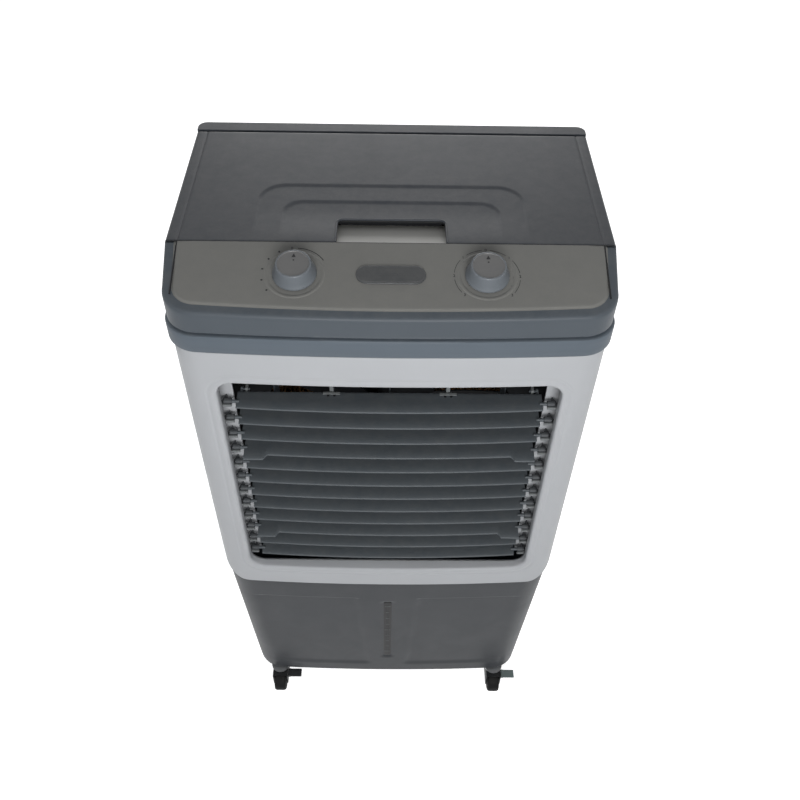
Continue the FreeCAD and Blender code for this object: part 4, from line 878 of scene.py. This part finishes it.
def build_cabinet():
    """Shell round three sides with rounded rear corners and a window behind the rear grille."""
    half, front, rear = CABINET_HIGH[0], CABINET_LOW[1], CABINET_HIGH[1]
    window_half = GRILLE_HIGH[0] - 12
    right = join(line((half, front), (half, rear - 14), 40), arc((half - 14, rear - 14), 14, 0, 90, 12),
                 line((half - 14, rear), (window_half, rear), 6), line((window_half, rear), (0, rear), 14))
    outline = both_halves(right)
    inner_low, inner_high = GRILLE_LOW[2] + 12, GRILLE_HIGH[2] - 12
    heights = np.concatenate([np.linspace(CABINET_LOW[2], inner_low, 5)[:-1],
                              np.linspace(inner_low, inner_high, 30),
                              np.linspace(inner_high, CABINET_HIGH[2], 6)[1:]])
    grid = np.stack([level(outline, height) for height in heights])
    middle_x, middle_y, middle_z = np.moveaxis((grid[:-1, :-1] + grid[1:, 1:]) / 2, -1, 0)
    hole = (np.abs(middle_x) < window_half) & (middle_y > rear - 0.5)
    hole &= (middle_z > inner_low) & (middle_z < inner_high)
    piece("cabinet_shell", [sheet(grid, keep=~hole)], [CABINET_PLASTIC], HOUSING,
          ["cabinet"], thickness=2.6, bevel=0.6, crease=40)
    shelf = brick((-PAD_HIGH[0] - 6, PAD_LOW[1] - 3, PAD_LOW[2] - 3.3),
                  (PAD_HIGH[0] + 6, rear - WALL + 0.5, PAD_LOW[2] - 0.3))
    piece("pad_shelf", shelf, [CABINET_PLASTIC], HOUSING, bevel=0.5)


SLOT_PITCH, SLOT_TALL = 14, 8
GRILLE_EDGE, GRILLE_RIB = 20, 8


def build_rear_grille():
    """Plate of three columns of slots: cells of a line grid are left out where a slot is."""
    half, low, high = GRILLE_HIGH[0], GRILLE_LOW[2], GRILLE_HIGH[2]
    column = (2 * (half - GRILLE_EDGE) - 2 * GRILLE_RIB - 4) / 3
    rows = int((high - low - 2 * GRILLE_EDGE) / SLOT_PITCH)
    edges_x, edges_z = [-half, half], [low, high]
    for side in (-1, 0, 1):
        middle = side * (column + GRILLE_RIB)
        edges_x += [middle - column / 2, middle + column / 2]
    for row in range(rows):
        foot = low + GRILLE_EDGE + row * SLOT_PITCH
        edges_z += [foot, foot + SLOT_TALL]
    edges_x, edges_z = np.sort(edges_x), np.sort(edges_z)
    x, z = np.meshgrid(edges_x, edges_z, indexing="ij")
    face = np.full_like(x, GRILLE_HIGH[1] - 0.2)
    keep_x = np.arange(len(edges_x) - 1) % 2 == 0
    keep_z = np.arange(len(edges_z) - 1) % 2 == 0
    keep = keep_x[:, None] | keep_z[None, :]
    piece("rear_grille_plate", [sheet(np.stack([x, face, z], axis=-1), keep=keep)], [CABINET_PLASTIC],
          HOUSING, ["rear_grille"], thickness=2.4, bevel=0.7)


def build_pad():
    """Corrugated paper sheets side by side; each is a sine wave whose flutes rise or fall to the rear."""
    low, high = PAD_LOW, PAD_HIGH
    count, pitch = 57, (high[0] - low[0]) / 57
    tall = np.linspace(low[2] + 0.5, high[2] - 0.5, 176)
    deep = np.linspace(low[1] + 0.6, high[1] - 0.6, 6)
    z, y = np.meshgrid(tall, deep, indexing="ij")
    for third in range(3):
        sheets = []
        for number in range(third * count // 3, (third + 1) * count // 3):
            lean = 0.6 if number % 2 else -0.6
            wave = np.sin(2 * math.pi * (z + lean * y) / 16.0)
            x = low[0] + (number + 0.5) * pitch + wave * (pitch / 2 - 0.45)
            sheets.append(np.stack([x, y, z], axis=-1))
        piece("pad_sheets_%d" % (third + 1), sheets, [PAD_PAPER], HOUSING,
              ["cooling_pad"] if third == 0 else (), crease=60, thickness=0.4)


# ------------------------------------------------------------------ fan
FAN_BLADES = 5


def build_impeller():
    """Hub turned from a profile, and five blades that twist from root to tip."""
    tip = (IMPELLER_HIGH[2] - IMPELLER_LOW[2]) / 2
    centre_z = OPENING_FOOT_Z + OPENING_HEIGHT / 2
    start = IMPELLER_LOW[1]
    hub = [(0, 0), (20, 0.2), (30, 1.5), (34.5, 4), (36, 8), (36, 30), (35, 33.6), (32, 34), (30, 34),
           (29.5, 30), (8, 30), (8, 34), (4, 34), (4, 59.5), (3.5, 60), (0, 60)]
    sheets = [lathe(hub, (0, start, centre_z), (0, 1, 0), 48)]
    span_share = np.linspace(0, 1, 24)[:, None]
    chord_share = np.linspace(-0.5, 0.5, 14)[None, :]
    radius = 34 + (tip - 1.5 - 34) * span_share + 0 * chord_share
    chord = 76 + 14 * np.sin(span_share * math.pi * 0.8)
    pitch = np.radians(33 - 12 * span_share)
    camber = 5.0 * (0.25 - chord_share ** 2) * 4
    along, lift = chord * chord_share, camber + 0 * span_share
    flow = along * np.sin(pitch) + lift * np.cos(pitch)
    spin = along * np.cos(pitch) - lift * np.sin(pitch)
    for blade in range(FAN_BLADES):
        turn = spin / radius + 2 * math.pi * blade / FAN_BLADES
        x, z = radius * np.cos(turn), radius * np.sin(turn)
        face = np.stack([x, start + 17 + flow * 0.75, centre_z + z], axis=-1)
        rear = face + np.array([0, 2.4, 0])
        sheets += [face, rear]
        sheets += [np.stack([face[row], rear[row]]) for row in (0, -1)]
        sheets += [np.stack([face[:, column], rear[:, column]]) for column in (0, -1)]
    piece("fan_wheel", sheets, [BLACK_PLASTIC_AND_SHADE], "fan_impeller", ["fan_impeller"], crease=40)


# ------------------------------------------------------------------ knobs, dials and badge
KNOB_X, CONTROL_ROW = 112.0, 48.0
KNOB_FOOT, KNOB_CROWN, KNOB_TALL = 25.8, 20.2, 19.5
DIAL_RADIUS, FIGURE_SIZE, PRINT_LIFT = 38.5, 5.4, 0.12


def build_knob(side):
    """Conical knob turned about the panel's normal, with a rim ring, a sunk cap, a pointer and a dot."""
    name = "knob_" + side_name(side)
    origin, axis = on_panel(side * KNOB_X, CONTROL_ROW), tuple(PANEL_UP)
    skirt = [(0, 0.6), (KNOB_FOOT - 0.6, 0.6), (KNOB_FOOT, 1.2), (KNOB_FOOT, 3.0), (KNOB_FOOT - 0.5, 3.8),
             (KNOB_FOOT - 1.4, 6.0), (KNOB_FOOT - 2.8, 10.0), (KNOB_CROWN + 1.4, 15.5),
             (KNOB_CROWN + 0.6, KNOB_TALL - 1.2),
             (KNOB_CROWN + 0.2, KNOB_TALL - 0.4), (KNOB_CROWN - 0.5, KNOB_TALL), (KNOB_CROWN - 1.6, KNOB_TALL)]
    sunk = [(KNOB_CROWN - 1.6, KNOB_TALL), (KNOB_CROWN - 2.1, KNOB_TALL - 0.3),
            (KNOB_CROWN - 2.4, KNOB_TALL - 0.8), (KNOB_CROWN - 3.2, KNOB_TALL - 0.9), (10, KNOB_TALL - 0.8),
            (0, KNOB_TALL - 0.75)]
    stem = [(0, -15.9), (2.95, -15.9), (2.95, 0.6), (0, 0.6)]
    crown = lathe(sunk, origin, axis, 96)
    piece(name + "_grip", [lathe(skirt, origin, axis, 96), crown[:3] + (1,), lathe(stem, origin, axis, 20)],
          [KNOB_PLASTIC, KNOB_CAP], name, [name], crease=50)
    tilt = Matrix.Rotation(SLOPE, 3, "X")

    def on_cap(points, lift):
        spots = [Vector((x, y, KNOB_TALL - 0.8 + lift)) for x, y in points]
        return np.array([tilt @ spot for spot in spots]) + origin

    pointer = [(-2.6, 9.6), (2.6, 9.6), (0, 15.4)]
    base, face = on_cap(pointer, -0.2), on_cap([(x * 0.85, 11.4 + (y - 11.4) * 0.85) for x, y in pointer], 0.45)
    centre = np.repeat(face.mean(axis=0)[None], 3, axis=0)
    piece(name + "_pointer", [sheet(np.stack([base, face, centre]), RING)], [PRINT_INK], name)
    dot = origin + np.array(tilt @ Vector((0, 5.4, KNOB_TALL - 0.85)))
    piece(name + "_dot", [lathe([(0, 0.25), (0.9, 0.22), (1.15, 0)], dot, axis, 16)], [PRINT_INK], name)
    ring = [(30.5, 0.0), (31.4, 0.3), (33.0, 0.62), (34.4, 0.5), (35.4, 0.12), (35.8, -0.1)]
    piece("dial_ring_" + side_name(side), [lathe(ring, origin, axis, 96)], [PANEL_PLASTIC], HOUSING,
          crease=60)


def dial_arc(name, side, start, end, width=0.55):
    """A printed arc on the panel, between two angles counted clockwise from the rear."""
    angle = np.radians(np.linspace(start, end, 40))
    rows = []
    for reach in (DIAL_RADIUS - width / 2, DIAL_RADIUS + width / 2):
        rows.append([on_panel(side * KNOB_X + reach * math.sin(turn), CONTROL_ROW - reach * math.cos(turn),
                              PRINT_LIFT) for turn in angle])
    grid = np.array(rows)
    under = grid - np.array(PANEL_UP) * 0.14
    closed = np.concatenate([grid, under[::-1]])
    piece(name, [sheet(closed, (True, False))], [PRINT_INK], HOUSING, crease=60)


def dial_figure(name, side, text, turn):
    """A plain number printed upright on the panel."""
    curve = bpy.data.curves.new(name, "FONT")
    curve.body = text
    curve.size = FIGURE_SIZE * MM
    curve.extrude = 0.06 * MM
    curve.align_x, curve.align_y = "CENTER", "CENTER"
    drawn = bpy.data.objects.new(name + "_drawn", curve)
    bpy.context.scene.collection.objects.link(drawn)
    bpy.context.view_layer.update()
    mesh = bpy.data.meshes.new_from_object(drawn.evaluated_get(bpy.context.evaluated_depsgraph_get()))
    bpy.data.objects.remove(drawn)
    bpy.data.curves.remove(curve)
    angle = math.radians(turn)
    spot = on_panel(side * KNOB_X + DIAL_RADIUS * math.sin(angle), CONTROL_ROW - DIAL_RADIUS * math.cos(angle),
                    PRINT_LIFT)
    mesh.materials.clear()
    mesh.transform(Matrix.Translation(Vector(spot) * MM) @ Matrix.Rotation(SLOPE, 4, "X"))
    mesh.name = name
    finish_mesh(name, mesh, [PRINT_INK], HOUSING, crease=60)


def build_dials():
    """Right dial: off at the top, 1 to 3 each way with arcs between. Left dial: a timer scale."""
    dial_figure("dial_right_off", 1, "0", 0)
    for hand in (-1, 1):
        for number, turn in ((1, 45), (2, 90), (3, 135)):
            dial_figure("dial_right_%d%s" % (number, "ab"[hand > 0]), 1, str(number), hand * turn)
        for number, turn in enumerate((7, 53, 98)):
            dial_arc("dial_right_arc_%d%s" % (number + 1, "ab"[hand > 0]), 1, hand * turn, hand * (turn + 30))
    dial_figure("dial_left_off", -1, "0", -8)
    dial_arc("dial_left_arc", -1, 2, 58, 0.9)
    for number in range(5):
        dial_arc("dial_left_mark_%d" % (number + 1), -1, -30 - 24 * number, -33 - 24 * number, 2.4)


def build_badge():
    """Bare stadium plate with a crowned edge and a shallow sunk field."""
    length, width, tall = 41.0, 13.25, 1.6
    rows = []
    for inset, lift in ((0, 0.02), (0, 0.9), (0.4, 1.35), (1.0, tall), (1.8, tall), (2.4, 1.25), (3.4, 1.2),
                        (width - 0.02, 1.2)):
        radius = width - inset
        right = join(line((0, -radius), (length - width, -radius), 12),
                     arc((length - width, 0), radius, -90, 90, 28),
                     line((length - width, radius), (0, radius), 12))
        ring = mirrored(right, True)
        rows.append([on_panel(x, CONTROL_ROW - y, lift) for x, y in ring])
    piece("badge_blank", [sheet(np.array(rows), RING)], [BADGE_FINISH], HOUSING,
          ["badge_plate"], crease=40)


# ------------------------------------------------------------------ louvre, vanes and castors
BLADE_HALF, BLADE_REACH, BLADE_BOW, BLADE_THICK = 198.0, 17.0, 7.0, 2.4
BLADE_Y = FRAME_FRONT - 0.5 + 30
BLADE_DROOP = 2.2
BLADES, BLADE_PITCH, LAST_BLADE_RISE = 12, 31.2, 17.5
TABBED_BLADES = (4, 10)
POST_X = 76.0
LINK_X, LINK_BACK, LINK_DROP = OPENING_HALF - 28, 24.0, 2.0
VANES = 5
PIVOT_Y = FRAME_FRONT - 0.5 + 73
CASTORS = ("front_left", "front_right", "rear_left", "rear_right")


def blade_level(number):
    """Height of a blade's pivot; they are numbered from the top."""
    return OPENING_FOOT_Z + LAST_BLADE_RISE + (BLADES - number) * BLADE_PITCH


def blade_sheet(tabbed):
    """Closed blade about its pivot line: rounded front and rear edges, crowned skin and finger tabs."""
    x = np.unique(np.concatenate([np.linspace(-BLADE_HALF, BLADE_HALF, 61), np.linspace(150, BLADE_HALF, 40),
                                  -np.linspace(150, BLADE_HALF, 40)]))
    front = -BLADE_REACH + BLADE_BOW * (x / BLADE_HALF) ** 2
    if tabbed:
        near = BLADE_HALF - 33
        front = front - 7.0 * step(np.abs(x) - near - 4, 9.0)
        front = np.where(np.abs(x) > near, np.minimum(front, -BLADE_REACH + BLADE_BOW
                                                      - 10.0 * step(np.abs(x) - near - 3.5, 7.0)), front)
    half = BLADE_THICK / 2
    turn = np.radians(np.linspace(0, 180, 7))
    nose = np.stack([half - half * np.sin(turn), half * np.cos(turn)], axis=1)
    share = np.linspace(0, 1, 8)
    rows = []
    for y_in, z in nose:
        rows.append(np.stack([x, front + y_in, np.full_like(x, z)], axis=1))
    for part in share[1:-1]:
        crown = 0.25 * math.sin(part * math.pi)
        y = (front + half) * (1 - part) + (BLADE_REACH - half) * part
        rows.append(np.stack([x, y, np.full_like(x, -half - crown)], axis=1))
    for y_in, z in nose[::-1]:
        rows.append(np.stack([x, np.full_like(x, BLADE_REACH) - y_in, np.full_like(x, z)], axis=1))
    for part in share[1:-1][::-1]:
        crown = 0.25 * math.sin(part * math.pi)
        y = (front + half) * (1 - part) + (BLADE_REACH - half) * part
        rows.append(np.stack([x, y, np.full_like(x, half - crown)], axis=1))
    grid = np.stack(rows)
    grid[..., 2] -= BLADE_DROOP * np.clip(1 - (grid[..., 1] - front) / 15, 0, 1) ** 2
    ends = []
    for column in (0, -1):
        ring = grid[:, column]
        middle = np.repeat(ring.mean(axis=0)[None], len(ring), axis=0)
        ends.append(sheet(np.stack([ring, middle]), RING))
    return [sheet(grid, (True, False))] + ends


def build_blade(number):
    """One louvre blade with its pivots and the two arms that carry the link pins."""
    name = "louvre_blade_%02d" % number
    height = blade_level(number)
    place = np.array([0, BLADE_Y, height])
    sheets = [(grid + place, *rest) for grid, *rest in blade_sheet(number in TABBED_BLADES)]
    for side in (-1, 1):
        post = side * POST_X
        sheets += brick((post - 11, BLADE_Y + 12.4, height + 0.8), (post + 11, BLADE_Y + 15.6, height + 2.6), 1)
        for shift in (-5.5, 2.5):
            sheets += brick((post + shift, BLADE_Y + 9.0, height + 0.8),
                            (post + shift + 3, BLADE_Y + 11.4, height + 1.9), 2)
        pivot = [(0, -2), (2.46, -2), (2.46, 13.4), (1.9, 14), (0, 14)]
        sheets.append(lathe(pivot, (side * (BLADE_HALF - 1.8), BLADE_Y, height), (side, 0, 0), 20))
        pin = [(0, -5), (1.4, -5), (1.95, -4.2), (1.95, 4.4), (1.5, 5), (0, 5)]
        pin_y, pin_z = BLADE_Y + LINK_BACK, height - LINK_DROP
        sheets.append(lathe(pin, (side * (LINK_X + 1.5), pin_y, pin_z), (side, 0, 0), 16))
        collar = [(0, -1.5), (3.3, -1.5), (3.5, -1.2), (3.5, 1.2), (3.3, 1.5), (0, 1.5)]
        arm_x = side * (LINK_X + 6.5)
        sheets.append(lathe(collar, (arm_x, pin_y, pin_z), (side, 0, 0), 20))
        outline = np.array([(8, -4.5), (LINK_BACK, -4.9), (LINK_BACK, 0.4), (8, 0.5)])
        plates = [np.column_stack([np.full(4, arm_x + shift), BLADE_Y + outline[:, 0], height + outline[:, 1]])
                  for shift in (-1.5, 1.5)]
        sheets.append(sheet(np.stack(plates), RING))
        sheets += [end_face(plate) for plate in plates]
    piece(name + "_skin", sheets, [BLADE_PLASTIC, BRACKET_PLASTIC, BLACK_PLASTIC_AND_SHADE], name,
          [name], crease=40)


def build_vane(number):
    """Upright vane with rounded edges, its two pivots and the pin of the tie bar."""
    name = "swing_vane_%d" % number
    low, high = span(name)
    middle = (low + high) / 2
    half_chord, half_thick = 19.5, 1.2
    turn = np.radians(np.linspace(0, 360, 24, endpoint=False))
    ring = np.stack([half_thick * np.sin(turn) * (0.75 + 0.25 * np.abs(np.sin(turn))),
                     half_chord * np.sign(np.cos(turn)) * np.abs(np.cos(turn)) ** 0.55], axis=1)
    vane_low, vane_high = OPENING_FOOT_Z - 3, OPENING_HEAD_Z - 6
    rows = [level(ring * scale + np.array([middle[0], PIVOT_Y]), height) for height, scale in
            ((vane_low, 0.01), (vane_low, 0.97), (vane_low + 0.6, 1.0), (vane_high - 0.6, 1.0),
             (vane_high, 0.97), (vane_high, 0.01))]
    pins = [((middle[0], PIVOT_Y, vane_high - 1), high[2] - vane_high + 1, 2.45),
            ((middle[0], PIVOT_Y, low[2]), vane_low - low[2] + 1, 2.45),
            ((middle[0], PIVOT_Y + 16, vane_high - 1), 9, 1.95)]
    sheets = [sheet(np.stack(rows), RING)]
    for origin, tall, radius in pins:
        profile = [(0, 0), (radius, 0), (radius, tall - 0.5), (radius - 0.5, tall), (0, tall)]
        sheets.append(lathe(profile, origin, (0, 0, 1), 16))
    piece(name + "_blade", sheets, [BLADE_PLASTIC], name, [name], crease=40)


def build_wheel(label):
    """Tyre with a rounded tread, a stepped rim and a sunk hub, turned about the axle."""
    node = "castor_wheel_" + label
    low, high = span(node)
    centre, radius, half = (low + high) / 2, (high[2] - low[2]) / 2, (high[0] - low[0]) / 2
    near = [(3.1, 1.5), (7.5, 1.5), (8.2, 0.2), (9.0, 0), (12.6, 0), (13.4, 1.2), (14.6, 1.2), (15.4, 0),
            (17.5, 0), (19.2, 0.7), (20.4, 2.2), (radius, 4.5)]
    tread = [(reach, -half + inset) for reach, inset in near]
    tread += [(reach, half - inset) for reach, inset in near[::-1]] + tread[:1]
    tyre = lathe(tread, centre, (1, 0, 0), 72)
    piece(node + "_tyre", [tyre], [WHEEL_RUBBER], node, [node], crease=40)
    for turn in range(6):
        angle = math.radians(60 * turn)
        for side in (-1, 1):
            start = np.array([side * (half - 0.9), 8.8 * math.cos(angle), 8.8 * math.sin(angle)]) + centre
            end = np.array([side * (half - 0.9), 4.6 * math.cos(angle), 4.6 * math.sin(angle)]) + centre
            bead_along(line(start, end, 4), 0.8, "%s_rib_%d%s" % (node, turn + 1, "ab"[side > 0]), HUB_PLASTIC,
                       body=node, count=6)


def build_side_rails():
    """White strips beside the opening; each blade's pivot has a boss, a triangular bracket and a bar."""
    inner, outer = OPENING_HALF - 12, OPENING_HALF + 6
    front = FRAME_FRONT + SILL_DEPTH + 0.3
    for side in (-1, 1):
        x_low, x_high = sorted((side * inner, side * outer))
        strip = brick((x_low, BLADE_Y + 12, OPENING_FOOT_Z - 6), (x_high, BLADE_Y + 16, OPENING_HEAD_Z + 6))
        piece("rail_strip_" + side_name(side), strip, [WHITE_PLASTIC], HOUSING,
              ["louvre_side_rails"] if side < 0 else (), bevel=0.6)
        triangle = np.array([(inner + 0.6, front + 3), (outer - 1.2, front + 3),
                             ((inner + outer) / 2, BLADE_Y + 12.4)])
        middle = triangle.mean(axis=0)
        hollow = middle + (triangle - middle) * 0.52
        bar_low, bar_high = sorted((side * inner, side * (outer - 0.6)))
        for blade in range(1, BLADES + 1):
            height = blade_level(blade)
            ring = [level(outline * (side, 1), height + lift) for outline, lift in
                    ((triangle, 1.3), (hollow, 1.3), (hollow, -1.3), (triangle, -1.3))]
            bar = brick((bar_low, front, height - 1.8), (bar_high, front + 2.6, height + 1.8), 1)
            boss = lathe([(2.6, -5), (4.2, -5), (4.5, -4.6), (4.5, 4.6), (4.2, 5), (2.6, 5), (2.6, -5)],
                         (side * (OPENING_HALF - 6.2), BLADE_Y, height), (side, 0, 0), 20)
            piece("rail_bracket_%s_%02d" % (side_name(side), blade),
                  [sheet(np.stack(ring), (True, True))] + bar + [boss],
                  [BRACKET_DARK, BRACKET_PLASTIC], HOUSING, bevel=0.3)


build_panel()
build_tongue()
build_side_rails()
build_lid()
build_collar()
build_front_frame()
build_tank()
build_window()
build_cabinet()
build_rear_grille()
build_pad()
build_impeller()
for hand in (-1, 1):
    build_knob(hand)
build_dials()
build_badge()
for blade in range(1, BLADES + 1):
    build_blade(blade)
for vane in range(1, VANES + 1):
    build_vane(vane)
for castor in CASTORS:
    build_wheel(castor)


# ------------------------------------------------------------------ finishes of the carried-over parts
CAD_FINISHES = (
    (BLACK_PLASTIC_AND_SHADE, ["pump", "drain_plug", "cord_gland", "fan_shroud", "rotary_switches"]
     + ["castor_fork_" + castor for castor in CASTORS]),
    (BRACKET_PLASTIC, ["link_bars_upper", "link_bars_lower", "louvre_mid_posts", "vane_tie_bar",
                       "swing_crank"]),
    (ZINC, ["cabinet_screws", "lid_hinge_pins", "castor_plates"]),
    (MOTOR_STEEL, ["swing_motor", "fan_motor"]),
    (HOSE_RUBBER, ["pump_hose"]),
    (CABINET_PLASTIC, ["water_distributor"]),
    (COLLAR_PLASTIC, ["fill_tray"]),
    (LID_PLASTIC, ["rear_strip"]),
    (PEDAL_DARK, ["brake_pedal_front_left"]),
    (PEDAL_GREY, ["brake_pedal_front_right"]),
)
for finish, nodes in CAD_FINISHES:
    for node in nodes:
        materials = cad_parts[node].data.materials
        materials.clear()
        materials.append(finish)
